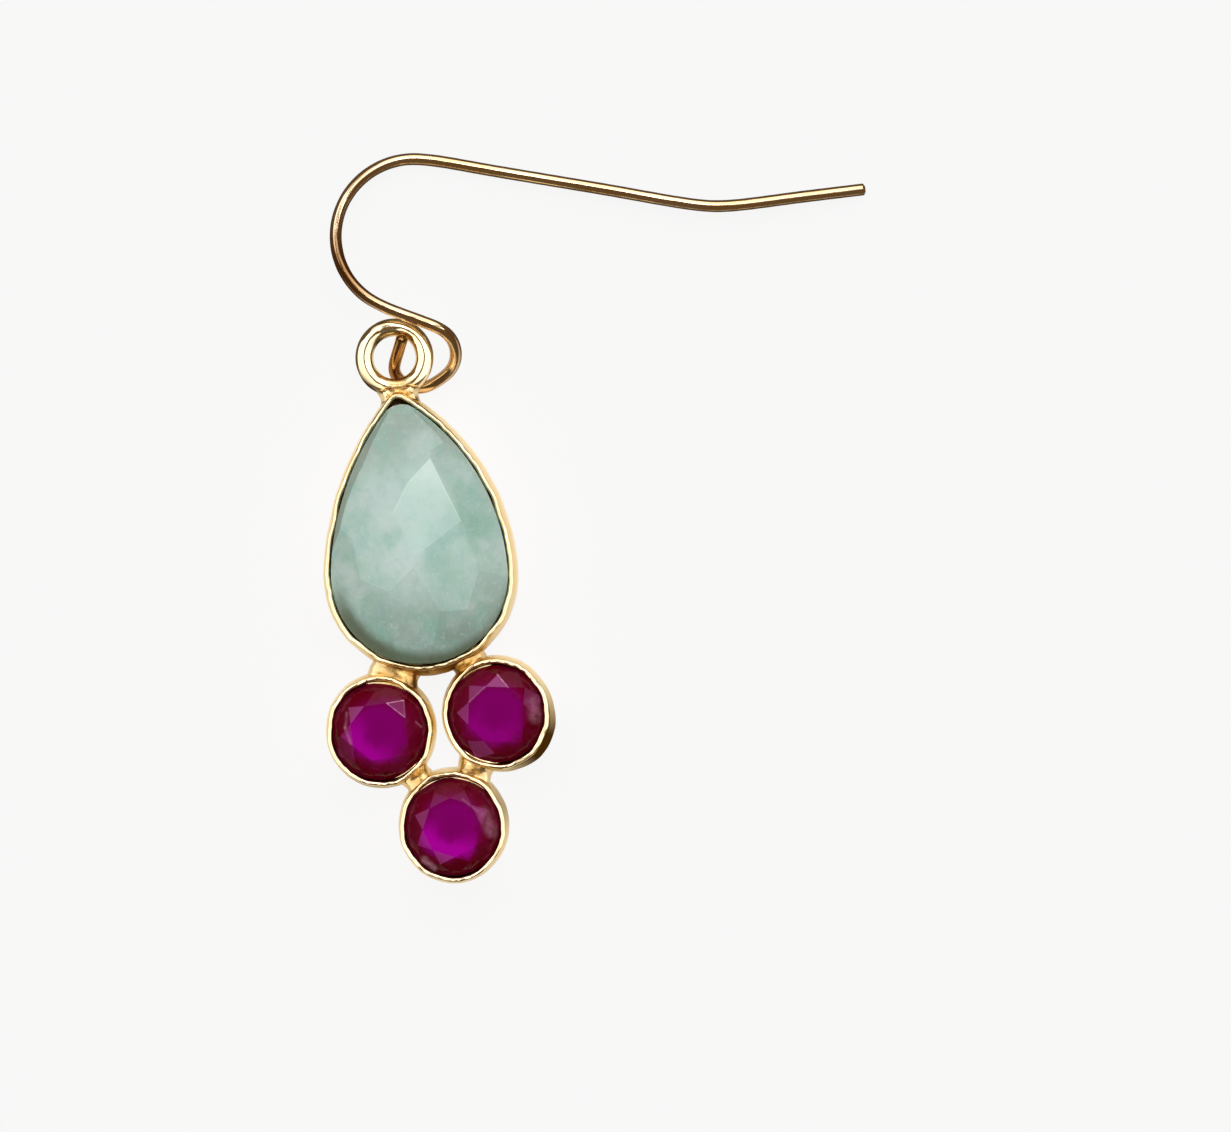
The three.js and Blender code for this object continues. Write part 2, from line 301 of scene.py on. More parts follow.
def make_pale_gold():
    material, bench = new_finish("pale_gold")
    place = bench.place_in_mm()
    stain, crease = bench.own("stain"), bench.own("crease")
    cloud = bench.noise(place, 0.55, 3.0, 0.6)
    grain = bench.noise(place, 6.0, 3.0, 0.55)
    dents = bench.noise(place, 1.7, 2.0, 0.5)
    patchy = (stain * (0.45 + 0.9 * cloud)).at_most(1.0)
    gold = bench.principled({
        "Base Color": bench.paint(GOLD["yellow"], (bench.smooth(cloud, 0.35, 0.65), GOLD["cream"]),
                                  (patchy, GOLD["amber"])),
        "Metallic": 1.0, "Specular Tint": GOLD["edge"],
        "Roughness": 0.06 + 0.10 * grain + 0.2 * crease + 0.22 * patchy,
        "Normal": bench.bump(dents + 0.12 * grain, 0.13, 0.06)})
    # Painted shade: a dull brown shader mixed over the gold.
    dark_shading = bench.principled({
        "Base Color": bench.blend(cloud, PAINTED_SHADE_DARK, PAINTED_SHADE_LIGHT),
        "Roughness": 0.7, "Specular IOR Level": 0.0})
    # Painted shade in noisy patches beside the joints.
    joint_shade = bench.smooth(bench.noise(place, 1.3, 3.0, 0.6), 0.50, 0.66) * stain * 0.75
    share = (crease * 1.1).at_least(joint_shade).at_most(1.0)
    close_finish(bench, bench.mix_shaders(share, gold, dark_shading))
    return material


pale_gold = make_pale_gold()
print("finish:", pale_gold.name)

# %% [markdown]
# The ear wire is drawn and polished, so it is smoother and rosier than the setting. Drawing leaves
# faint lines along the wire. The wire carries its own map, with U along it and V around it, and
# the noise is stretched along U. A number on the mesh says where the wire is painted brown: a
# painted dark reflection along the arch's far bend and round the loop, and painted shade at the
# looped end inside the ring.

# %% Rose gold
# The last colour is painted dark reflection and shade, laid where the mesh asks for it.
ROSE = dict(deep=(0.84, 0.60, 0.33), light=(0.91, 0.71, 0.48), painted_dark=(0.26, 0.105, 0.020),
            edge=(0.90, 0.72, 0.52, 1.0))
LINES_STRETCH = (8.0, 40.0, 1.0)


def make_rose_gold():
    material, bench = new_finish("rose_gold")
    place = bench.place_in_mm()
    along = bench.add("ShaderNodeUVMap", {"uv_map": "UVMap"}).outputs[0]
    stretched = bench.add("ShaderNodeMapping", {}, {"Vector": along, "Scale": LINES_STRETCH})
    lines = bench.noise(stretched.outputs[0], 1.0, 2.0, 0.5)
    cloud = bench.noise(place, 0.35, 2.0, 0.5)
    close_finish(bench, bench.principled({
        "Base Color": bench.paint(ROSE["deep"], (bench.smooth(cloud, 0.3, 0.7), ROSE["light"]),
                                  (bench.own("aged") * 0.8, ROSE["painted_dark"])),
        "Metallic": 1.0, "Specular Tint": ROSE["edge"], "Roughness": 0.09 + 0.07 * lines,
        "Normal": bench.bump(lines + bench.noise(place, 2.5), 0.12, 0.02)}))
    return material


rose_gold = make_rose_gold()
print("finish:", rose_gold.name)

# %% [markdown]
# Both kinds of stone have marks that follow a line or lie about a spot: painted highlights along
# facet edges, and patches of moss. One helper measures how near a place is to a short line.

# %% Marks along a line
def near_line(bench, place, start, end, reach, stray=0.0):
    """1 on the line from start to end and 0 beyond reach from it, measured on the plan. Stray is
    added to the distance, which breaks up the mark's edge."""
    start, end = Vector((*start, 0.0)), Vector((*end, 0.0))
    span = end - start
    away = bench.vector("SUBTRACT", bench.on_plan(place), start)
    share = bench.vector("DOT_PRODUCT", away, span / span.length_squared).at_least(0.0).at_most(1.0)
    along = bench.vector("SCALE", span, scale=share)
    return 1 - bench.smooth(bench.vector("DISTANCE", away, along) + stray, 0.0, reach)


# %% [markdown]
# The pear stone is an opaque grey-green mineral with pale clouds a millimetre or two across,
# greener veins and a waxy polish. Light enters its skin a little, which a touch of subsurface
# scattering gives. The colours lie on each other as coats: the body's clouds first, then specks,
# threads and pits, then painted shade on some facets and a painted highlight on the kite-shaped
# facet that faces the light and along its edges, and painted shade on the rim and belt last. The
# mesh carries two numbers for the painted light: one for each facet (-1 on the kite) and one for
# the belt.

# %% Grey-green stone
KITE = ((2.60, 1.70), (1.40, 5.19), (0.06, 4.04), (-0.85, 2.60))
KITE_TOP = 4.3
HEART = dict(shift=(0.2, 2.2, 4.0), stretch=(1.0, 1.45, 3.0))
RIM_CENTRE = (0.35, -0.6, 0.0)
# The last six colours are painted light: painted shade on dull facets and on the kite away from its
# apex, a painted highlight near the apex and along the kite's edges, and painted shade on the rim and
# the belt.
GREEN = dict(
    heart=(0.545, 0.765, 0.720), outer=(0.450, 0.615, 0.565), head=(0.340, 0.425, 0.375),
    foot=(0.170, 0.255, 0.215), leaf=(0.290, 0.560, 0.460), teal=(0.300, 0.540, 0.530),
    pale=(0.650, 0.775, 0.780), moss=(0.270, 0.520, 0.430), speck=(0.66, 0.79, 0.77),
    thread=(0.76, 0.87, 0.85), pit=(0.27, 0.42, 0.36), shaded_facet=(0.130, 0.190, 0.165),
    kite_shade=(0.400, 0.570, 0.530), lit=(0.70, 0.86, 0.82), kite_edge_highlight=(0.72, 0.90, 0.84),
    rim_shade=(0.090, 0.105, 0.050), belt=(0.080, 0.085, 0.030))
PATCHES = (((-0.9, -0.4), 2.0, 0.50, "pale"), ((-1.2, 3.2), 1.7, 0.45, "pale"),
           ((0.9, 6.2), 1.3, 0.45, "pale"), ((3.0, 2.0), 1.4, 0.60, "moss"),
           ((1.1, -0.6), 1.4, 0.45, "moss"))


def cloud_coats(bench, place, veil):
    """The body's coats: a paler heart, darker ends, and clouds of green, teal and white."""
    up = bench.parts(place)[1]
    down = 0 - up
    wisps = bench.noise(place, 0.42, 3.0, 0.5, 0.3)
    cloud = bench.noise(bench.place_in_mm(shift=(7.0, 3.0, 1.0)), 0.60, 5.0, 0.6, 0.3)
    moss = bench.noise(bench.place_in_mm(shift=(-4.0, 9.0, 2.0)), 0.55, 3.0, 0.5, 0.5)
    from_heart = bench.vector("LENGTH", bench.place_in_mm(**HEART))
    fade = 1 - bench.smooth(down, 1.5, 5.0) * 0.6
    yield bench.smooth(from_heart + 3.2 * (wisps - 0.5), 0.3, 5.0), GREEN["outer"]
    yield bench.smooth(up, 4.0, 7.0) * 0.7, GREEN["head"]
    yield bench.smooth(down, 0.6, 5.2) * 0.62, GREEN["foot"]
    yield bench.smooth(moss, 0.44, 0.68) * 0.55, GREEN["leaf"]
    yield bench.smooth(veil, 0.44, 0.70) * 0.45, GREEN["teal"]
    yield bench.smooth(cloud, 0.42, 0.76) * 0.60 * fade, GREEN["pale"]
    for (x, y), reach, share, colour in PATCHES:
        patch = near_line(bench, place, (x, y), (x + 0.3, y - 0.5), reach, 2.0 * (veil - 0.5))
        yield patch * share, GREEN[colour]


def surface_coats(bench, place, veil, fleck):
    """The polish's coats: specks, pale threads and pits, painted shade on each facet, a painted
    highlight on the kite, and the painted shade of the rim and the belt.
    """
    thread = bench.noise(bench.place_in_mm(shift=(5.0, 2.0, -3.0)), 0.8, 5.0, 0.65, 0.9) - 0.5
    threads = (1 - bench.smooth(abs(thread), 0.0, 0.03)) * bench.smooth(veil, 0.40, 0.60)
    pits = bench.smooth(bench.noise(place, 5.5, 3.0, 0.6), 0.56, 0.74)
    # Painted shade on each facet by its number; a painted highlight near the kite's apex and along its
    # edges, painted shade on the rest of the kite.
    tone = bench.own("tone")
    on_kite = (0 - tone).at_least(0.0)
    near_apex = 1 - bench.smooth(bench.vector("DISTANCE", place, (*KITE[1], KITE_TOP)), 0.2, 3.2)
    kite_edge_highlight = 0.0
    for start, end in zip(KITE[:-1], KITE[1:]):
        kite_edge_highlight = near_line(bench, place, start, end, 0.07).at_least(kite_edge_highlight)
    # Painted shade along the rim at the stone's lower end.
    outward = bench.vector("DISTANCE", bench.on_plan(place), RIM_CENTRE) + 0.4 * (veil - 0.5)
    low = bench.smooth(0 - bench.parts(place)[1], 0.2, 3.0)
    yield bench.smooth(fleck, 0.54, 0.74) * 0.35, GREEN["speck"]
    yield threads * 0.14, GREEN["thread"]
    yield pits * 0.16, GREEN["pit"]
    yield tone, GREEN["shaded_facet"]
    yield on_kite * (1 - near_apex) * 0.35, GREEN["kite_shade"]
    yield on_kite * near_apex * 0.60, GREEN["lit"]
    yield kite_edge_highlight * 0.40, GREEN["kite_edge_highlight"]
    yield bench.smooth(outward, 4.15, 4.85) * low * 0.80, GREEN["rim_shade"]
    yield bench.own("crease"), GREEN["belt"]


def make_grey_green():
    material, bench = new_finish("grey_green_stone")
    place = bench.place_in_mm()
    veil = bench.noise(bench.place_in_mm(shift=(3.0, -6.0, 4.0)), 0.9, 4.0, 0.6, 0.6)
    fleck = bench.noise(place, 3.6, 3.0, 0.6)
    colour = bench.paint(GREEN["heart"], *cloud_coats(bench, place, veil),
                         *surface_coats(bench, place, veil, fleck))
    close_finish(bench, bench.principled({
        "Base Color": colour, "Roughness": 0.24 + 0.14 * fleck,
        "IOR": 1.55, "Specular IOR Level": 0.30,
        "Subsurface Weight": 0.25, "Subsurface Radius": (0.8, 1.0, 0.9), "Subsurface Scale": 0.4 * MM,
        "Normal": bench.bump(bench.noise(place, 1.4, 3.0), 0.08, 0.03)}))
    return material


grey_green = make_grey_green()
print("finish:", grey_green.name)

# %% [markdown]
# The round stones are deep crimson with a magenta glow where light comes back from the bottom of
# the cup. Real refraction in so dark a stone takes long to calculate and comes out grainy, so the
# glow is painted: every facet carries its own lean, and the painting is read a little further out
# by that lean, which is what looking through a tilted facet does.

# %% Crimson stone
# Glow is the painted light that comes back from the cup, edge and glint are painted highlights, and
# milk is the stone's own cloudiness.
CRIMSON = dict(glow=(0.370, 0.000, 0.310), milk=(0.260, 0.020, 0.070), edge=(0.80, 0.42, 0.62),
               glint=(0.340, 0.065, 0.240))
# A painted ramp of light by distance from the middle: the magenta glow in the middle, painted shade at
# the edge.
DEPTHS = ((0.0, (0.190, 0.000, 0.115)), (0.40, (0.205, 0.000, 0.130)), (0.58, (0.165, 0.000, 0.075)),
          (0.70, (0.135, 0.000, 0.022)), (0.82, (0.108, 0.000, 0.008)), (1.0, (0.080, 0.000, 0.003)))
STONE_REACH = 2.75
GLOW_RADIUS = 1.25


def make_crimson(name, centre, glow_at, strength, edges, seed):
    """Colour goes by the distance from the centre on the plan, moved by facet lean and noise."""
    material, bench = new_finish(name)
    place = bench.place_in_mm(shift=(*centre, 0.0))
    lean = bench.add("ShaderNodeAttribute", {"attribute_name": "lean"}).outputs["Vector"]
    flat = bench.on_plan(bench.vector("MULTIPLY_ADD", lean, (0.25, 0.25, 0.0), place))
    distance = bench.vector("LENGTH", flat)
    toward = bench.vector("DOT_PRODUCT", flat, (*glow_at, 0.0))
    wisps = bench.noise(flat, 0.9 + 0.07 * seed, 3.0, 0.5, 0.5)
    jagged = bench.noise(flat, 2.6, 2.0, 0.6, 0.8)
    depth = distance + 0.8 * (wisps - 0.5) + 0.4 * (jagged - 0.5)
    ramp = bench.add("ShaderNodeValToRGB", {"stops": DEPTHS}, {"Fac": depth * (1 / STONE_REACH)})
    # Painted glow in a ring toward the stone's lit side.
    on_ring = 1 - bench.smooth(abs(depth - GLOW_RADIUS), 0.05, 0.85)
    milky = bench.smooth(bench.noise(place, 2.0, 4.0, 0.65, 0.8), 0.50, 0.72)
    broken = 0.45 + 0.55 * bench.smooth(bench.noise(place, 3.0, 4.0, 0.6), 0.36, 0.60)
    colour = bench.paint(
        ramp.outputs["Color"],
        (on_ring * bench.smooth(toward, -0.3, 1.2) * strength, CRIMSON["glow"]),
        (bench.smooth(distance, 1.2, 1.8) * milky * 0.20, CRIMSON["milk"]),
        *((near_line(bench, place, start, end, reach) * broken * share, CRIMSON["edge"])
          for start, end, reach, share in edges),
        (bench.own("glint"), CRIMSON["glint"]))
    close_finish(bench, bench.principled({
        "Base Color": colour, "Roughness": 0.06, "IOR": 1.5, "Specular IOR Level": 0.10}))
    return material


# %% [markdown]
# Painted highlights lie along a few facet edges of each stone, where light would catch them. They
# are given by angle and distance from the stone's centre: start, end, width and strength. Each
# stone's painted glow also leans toward its own side.

# %% Glow and bright edges
GLOW_TOWARD = {"left": (-0.75, -0.55), "right": (-0.35, -0.85), "bottom": (-0.40, -0.80)}
GLOW_STRENGTH = {"left": 0.85, "right": 0.35, "bottom": 1.3}
BRIGHT_EDGES = {
    "left": (((67.5, 1.58), (45, 2.12), 0.05, 0.70), ((67.5, 1.58), (22.5, 1.58), 0.05, 0.60),
             ((45, 2.12), (22.5, 1.58), 0.06, 0.25), ((143, 2.0), (166, 1.83), 0.14, 0.16),
             ((166, 1.83), (195, 1.63), 0.14, 0.22), ((8, 2.02), (-1, 2.26), 0.08, 0.15)),
    "right": (((81, 2.12), (58.5, 1.58), 0.05, 0.85), ((103.5, 1.58), (148.5, 1.58), 0.08, 0.20),
              ((12, 2.05), (-12, 2.1), 0.50, 0.20)),
    "bottom": (((62, 1.60), (26, 1.62), 0.12, 0.14), ((18, 1.85), (-14, 2.1), 0.50, 0.20),
               ((222, 2.30), (238, 2.42), 0.30, 0.38)),
}


def polar(angle, radius):
    return radius * math.cos(math.radians(angle)), radius * math.sin(math.radians(angle))


crimson = {}
for seed, (name, cup) in enumerate(CUPS.items()):
    edges = [(polar(*start), polar(*end), *form) for start, end, *form in BRIGHT_EDGES[name]]
    crimson[name] = make_crimson(f"crimson_stone_{name}", cup["centre"], GLOW_TOWARD[name],
                                 GLOW_STRENGTH[name], edges, seed)
print("finishes:", list(crimson))

# %% [markdown]
# A cup's outline is a closed line on the plan. The pear is six arcs that touch: a round end, two
# long flanks and a small tip. Each point knows which way is outward, so walls, lips and stones all
# come from one outline moved outward or inward.

# %% Outlines
def flank_centre(flank_radius):
    """Where a circle of radius R - end about the end's centre meets one of R - tip about the
    tip's centre."""
    tip_centre = PEAR["tip_y"] - PEAR["tip_radius"]
    to_end = flank_radius - PEAR["end_radius"]
    to_tip = flank_radius - PEAR["tip_radius"]
    span = tip_centre - PEAR["end_y"]
    along = (to_end ** 2 - to_tip ** 2 + span ** 2) / (2 * span)
    return -math.sqrt(to_end ** 2 - along ** 2), PEAR["end_y"] + along


def flank_centres():
    """Centres of the right flank's circle and of the left's, which lies across the middle line."""
    (rx, ry), (lx, ly) = flank_centre(PEAR["right"]), flank_centre(PEAR["left"])
    return (rx, ry), (-lx, ly)


def tip_circle(radius):
    """Centre of a tip circle of any radius that touches both flanks from inside."""
    (rx, ry), (lx, ly) = flank_centres()
    right, left = PEAR["right"] - radius, PEAR["left"] - radius
    gap = math.hypot(lx - rx, ly - ry)
    along = (right ** 2 - left ** 2 + gap ** 2) / (2 * gap)
    across = math.sqrt(right ** 2 - along ** 2)
    ux, uy = (lx - rx) / gap, (ly - ry) / gap
    return rx + along * ux - across * uy, ry + along * uy + across * ux


def pear_arcs(tip_radius):
    """Rows of centre x and y, radius, start and end angle, anticlockwise from the bottom."""
    end_y, end_radius = PEAR["end_y"], PEAR["end_radius"]
    (rx, ry), (lx, ly) = flank_centres()
    tx, ty = tip_circle(tip_radius)
    leave = math.atan2(end_y - ry, -rx)
    meet = math.atan2(ty - ry, tx - rx)
    part = math.atan2(ty - ly, tx - lx) % (2 * math.pi)
    rejoin = math.atan2(end_y - ly, -lx) % (2 * math.pi)
    return np.array([
        (0.0, end_y, end_radius, -math.pi / 2, leave), (rx, ry, PEAR["right"], leave, meet),
        (tx, ty, tip_radius, meet, part), (lx, ly, PEAR["left"], part, rejoin),
        (0.0, end_y, end_radius, rejoin, 1.5 * math.pi)])


def pear_outline(count, tip_radius=PEAR["tip_radius"], spare=0.8):
    """Points and outward directions. Spacing goes by the length at spare mm outside, so that the
    tight tip gets its share of points."""
    arcs = pear_arcs(tip_radius)
    marks = np.concatenate([[0], np.cumsum((arcs[:, 2] + spare) * (arcs[:, 4] - arcs[:, 3]))])
    place = np.arange(count) / count * marks[-1]
    index = np.searchsorted(marks, place, side="right") - 1
    x, y, radius, start, _ = arcs[index].T
    angle = start + (place - marks[index]) / (radius + spare)
    outward = np.stack([np.cos(angle), np.sin(angle)], axis=1)
    return np.stack([x, y], axis=1) + radius[:, None] * outward, outward


def oval_outline(count, centre):
    """An oval's points, and the directions in which its two radii grow."""
    angle = 2 * np.pi * np.arange(count) / count
    outward = np.stack([np.cos(angle), np.sin(angle)], axis=1)
    return np.array(centre) + np.array(OVAL) * outward, outward


def ripple(share, lowest, highest, seed):
    """Smooth random waves round a closed line: cosines of whole numbers of waves, scaled to 1."""
    random = np.random.default_rng(seed)
    waves = np.arange(lowest, highest + 1)
    phase = random.uniform(0, 2 * np.pi, len(waves))
    size = random.uniform(0.4, 1.0, len(waves))
    total = (size * np.cos(2 * np.pi * np.outer(share, waves) + phase)).sum(axis=1)
    return total / np.sqrt((size ** 2).sum() / 2)


print("pear tip centre:", [round(v, 3) for v in tip_circle(PEAR["tip_radius"])])

# %% [markdown]
# Every metal piece is a grid of points whose columns run round it and whose rows run along it.
# The faces between neighbours follow from the counts alone. The two open ends are closed with a
# fan to a middle point, and the faces are turned over if the volume they hold comes out negative.

# %% Meshes from grids
def grid_faces(rows, columns, loop=False):
    """Quads between each point, the next in its row, and the same two in the next row."""
    i = np.arange(rows if loop else rows - 1)[:, None]
    j = np.arange(columns)[None, :]
    here, there = i * columns, ((i + 1) % rows) * columns
    quads = np.stack(np.broadcast_arrays(here + j, here + (j + 1) % columns,
                                         there + (j + 1) % columns, there + j), axis=-1)
    return quads.reshape(-1, 4).tolist()


def end_fans(grid):
    """Middle points of the first and last row, and the triangles that join each row to its own."""
    rows, columns = grid.shape[:2]
    j = np.arange(columns)
    after = (j + 1) % columns
    first, last = rows * columns, rows * columns + 1
    above = (rows - 1) * columns
    low = np.stack([after, j, np.full(columns, first)], axis=1)
    high = np.stack([j + above, after + above, np.full(columns, last)], axis=1)
    return np.stack([grid[0].mean(axis=0), grid[-1].mean(axis=0)]), low.tolist() + high.tolist()


def held_volume(points, faces):
    """Sum over the faces, cut into triangles from their first corner, of a . (b x c) / 6."""
    fans = [(f[0], f[k], f[k + 1]) for f in faces for k in range(1, len(f) - 1)]
    a, b, c = points[np.array(fans)].transpose(1, 0, 2)
    return float(np.einsum("ij,ij->", a, np.cross(b, c)) / 6)


def make_piece(name, points, faces, finish, node):
    """Makes the object, turns its faces outwards, and ties it to the frame."""
    if held_volume(points, faces) < 0:
        faces = [face[::-1] for face in faces]
    mesh = bpy.data.meshes.new(name)
    mesh.from_pydata((points * MM).tolist(), [], faces)
    mesh.polygons.foreach_set("use_smooth", np.full(len(faces), True))
    mesh.materials.append(finish)
    piece = bpy.data.objects.new(name, mesh)
    bpy.context.scene.collection.objects.link(piece)
    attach(piece, "root")
    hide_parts(node)
    print(name, "has", len(faces), "faces and", round(abs(held_volume(points, faces)), 2), "mm3")
    return piece


def make_closed(name, grid, finish, node):
    """Makes a piece from a grid and the fans at its ends, and gives its points as well."""
    middles, fans = end_fans(grid)
    points = np.concatenate([grid.reshape(-1, 3), middles])
    return make_piece(name, points, grid_faces(*grid.shape[:2]) + fans, finish, node), points


def give_numbers(piece, name, values, domain="POINT"):
    """Stores a number, or three in a row, for each point of the mesh or for each face."""
    values = np.asarray(values, dtype=np.float32)
    kind, field = ("FLOAT", "value") if values.ndim == 1 else ("FLOAT_VECTOR", "vector")
    attribute = piece.data.attributes.new(name, kind, domain)
    attribute.data.foreach_set(field, values.ravel())


# %% [markdown]
# Solder joins the cups to each other and the ring to the tip. Its places are needed first, because
# every metal surface near one is stained amber.

# %% Joints
PEAR_END = np.array([0.0, PEAR["end_y"]])
PEAR_WALL = PEAR["end_radius"] + 0.3
ROUND_WALL = sum(OVAL) / 2 + 0.27
NECK_AT = np.array([RING["centre"][0] + 0.05, 9.45])


def joint(first, first_radius, second, second_radius):
    """The middle of the gap between two round walls, the direction across it, its width, and the
    walls' radii."""
    across = second - first
    distance = np.linalg.norm(across)
    across = across / distance
    gap = distance - first_radius - second_radius
    return first + across * (first_radius + gap / 2), across, gap, (first_radius, second_radius)


left_centre, right_centre, bottom_centre = (np.array(cup["centre"]) for cup in CUPS.values())
JOINTS = {
    "pear_left": joint(PEAR_END, PEAR_WALL, left_centre, ROUND_WALL),
    "pear_right": joint(PEAR_END, PEAR_WALL, right_centre, ROUND_WALL),
    "left_bottom": joint(left_centre, ROUND_WALL, bottom_centre, ROUND_WALL),
    "right_bottom": joint(right_centre, ROUND_WALL, bottom_centre, ROUND_WALL),
}
STAINED = np.array([*(place for place, *_ in JOINTS.values()),
                    NECK_AT, NECK_AT + (0.0, -1.1), PEAR_END + (0.0, -5.1)])
STAIN_REACH = np.array([1.2, 1.1, 0.75, 0.75, 0.62, 0.75, 1.5])


def stain_at(points):
    """Sum over the joints of exp(-(distance / reach)^2), never above 1."""
    apart = np.linalg.norm(points[:, None, :2] - STAINED[None], axis=2)
    return np.exp(-(apart / STAIN_REACH) ** 2).sum(axis=1).clip(0, 1)


for joint_name, (place, across, gap, _) in JOINTS.items():
    print(joint_name, np.round(place, 2), "gap", round(gap, 2))

# %% [markdown]
# Each cup is a strip of thin metal bent round the stone and soldered to a back plate. Its lip was
# pushed over the stone and burnished by hand, so it is a bright bead of uneven width with a crease
# below it. One profile, from the middle of the back up the wall, over the lip and down inside, is
# carried round the outline. Waves with a share in each row make the lip wander.

# %% Cups
# Each lip row: out, down, share of the waves, and painted shade, darkest in the crease under the bead.
LIP_ROWS = ((0.030, 0.300, 0.8, 0.5), (0.022, 0.265, 0.9, 0.6), (0.035, 0.230, 1.0, 0.2),
            (0.050, 0.170, 1.0, 0.0), (0.045, 0.110, 1.0, 0.0), (0.020, 0.055, 1.0, 0.0),
            (-0.020, 0.018, 1.0, 0.0), (-0.070, 0.0, 1.0, 0.0), (-0.120, 0.008, 1.0, 0.0),
            (-0.165, 0.036, 1.0, 0.0), (-0.200, 0.085, 1.0, 0.1), (-0.215, 0.15, 0.9, 0.5),
            (-0.20, 0.24, 0.5, 0.9))
PLATE_SHARES = (0.03, 0.6)


def wall_rows(foot, top, low, high, count=16):
    """The wall stands nearly upright and rounds over near its top."""
    rise = 1 - (1 - np.linspace(0, 1, count)) ** 1.6
    return [(1.0, foot - (foot - top) * t ** 3.5, low + (high - low) * t, 0.25 + 0.35 * t, 0.0)
            for t in rise]


def cup_profile(lip, foot, top):
    """Rows of share of the way out, offset, height, share of the waves, and painted shade: the back,
    the wall, the lip's bead (LIP_ROWS, measured from the lip's top), the inside and the floor."""
    return np.array([
        *((share, 0.0, 0.0, 0.0, 0.0) for share in (*PLATE_SHARES, 0.97)),
        (1.0, foot - 0.09, 0.0, 0.1, 0.0), (1.0, foot - 0.03, 0.03, 0.2, 0.0),
        *wall_rows(foot, top + 0.06, 0.1, lip - 0.34),
        *((1.0, top + out, lip - down, waves, crease) for out, down, waves, crease in LIP_ROWS),
        (1.0, 0.0, lip - 0.5, 0.1, 1.0), (1.0, 0.0, lip - 1.2, 0.0, 1.0),
        (1.0, 0.0, CUP_FLOOR + 0.1, 0.0, 1.0), (0.98, 0.0, CUP_FLOOR, 0.0, 1.0),
        *((share, 0.0, CUP_FLOOR, 0.0, 1.0) for share in PLATE_SHARES[::-1]),
    ])


LIP_DEPTH = 0.24
LIP_STAIN = 0.3


def make_cup(name, outline, centre, height, foot, top, slow_waves, quick_waves, seed, bulge, dark_shading):
    """point = centre + share * (outline + (offset + waves) * outward - centre), at the row's height.
    The wall also swells by the bulge times the sine of pi * height / full height."""
    base, outward = outline
    columns = len(base)
    turn = np.arange(columns) / columns
    wander = 0.020 * ripple(turn, *slow_waves, seed) + 0.006 * ripple(turn, *quick_waves, seed + 1)
    lift = 0.02 * ripple(turn, *slow_waves, seed + 2) + 0.006 * ripple(turn, *quick_waves, seed + 3)
    share, offset, z, waviness, crease = cup_profile(height, foot, top).T
    swell = np.sin(np.pi * (z / height).clip(0, 1)) * (offset > top)
    out = offset[:, None] + waviness[:, None] * wander + swell[:, None] * bulge
    plan = base + out[..., None] * outward
    plan = np.array(centre) + share[:, None, None] * (plan - np.array(centre))
    high = z[:, None] + (waviness * (z > height / 2))[:, None] * lift
    grid = np.concatenate([plan, high[..., None]], axis=2)
    piece, points = make_closed(name, grid, pale_gold, "setting")
    # Painted shade: the profile's own share, in the crease and inside the cup, plus the outer wall on
    # its darker side.
    shaded_rows = crease[:, None] + (offset > top + 0.02)[:, None] * dark_shading
    give_numbers(piece, "crease", np.concatenate([shaded_rows.clip(0, 1).ravel(), [0, 1]]))
    rubbed = np.repeat(np.where(z > height - LIP_DEPTH, LIP_STAIN, 1.0), columns)
    give_numbers(piece, "stain", stain_at(points) * np.concatenate([rubbed, [1, 1]]))


# %% [markdown]
# The walls aren't all alike. Each cup's wall bulges on one side, and painted shade darkens one
# side of it. Both are given by the angle that they face, how far they reach and how much there is.

# %% Cups in place
# Painted shade: the angle that each cup's darker side faces, how far it reaches and how dark it is.
PAINTED_SHADE_SIDES = {"pear": (-82, 40, 0.35), "left": (255, 35, 0.35),
           "right": (-40, 42, 1.0), "bottom": (15, 25, 0.4)}
BULGES = {"pear": (-88, 24, 0.18), "left": (20, 40, 0.06),
          "right": (-36, 44, 0.30), "bottom": (12, 40, 0.05)}
PEAR_FOOT, PEAR_TOP = 0.45, 0.2
ROUND_FOOT, ROUND_TOP = 0.385, 0.18
PEAR_COLUMNS, ROUND_COLUMNS = 460, 260


def on_side(outward, middle, reach, most):
    """most where a wall faces the middle angle, falling off as exp(-(turn / reach)^2)."""
    facing = np.degrees(np.arctan2(outward[:, 1], outward[:, 0]))
    return most * np.exp(-(((facing - middle + 180) % 360 - 180) / reach) ** 2)


outline = pear_outline(PEAR_COLUMNS)
make_cup("pear_cup", outline, (0.0, 0.0), PEAR_CUP_HEIGHT, PEAR_FOOT, PEAR_TOP,
         (9, 24), (30, 70), 11,
         on_side(outline[1], *BULGES["pear"]), on_side(outline[1], *PAINTED_SHADE_SIDES["pear"]))
for seed, (name, cup) in enumerate(CUPS.items()):
    outline = oval_outline(ROUND_COLUMNS, cup["centre"])
    make_cup(f"round_cup_{name}", outline, cup["centre"], ROUND_CUP_HEIGHT, ROUND_FOOT, ROUND_TOP,
             (4, 12), (14, 34), 31 + 10 * seed,
             on_side(outline[1], *BULGES[name]), on_side(outline[1], *PAINTED_SHADE_SIDES[name]))

# %% [markdown]
# The hanging ring is a plain round ring of thick wire. A bending formula gives it directly: one
# angle runs round the ring and one round its section. The section swells a little here and there,
# and painted shade darkens its outside at the lower left and its inside at the upper left.

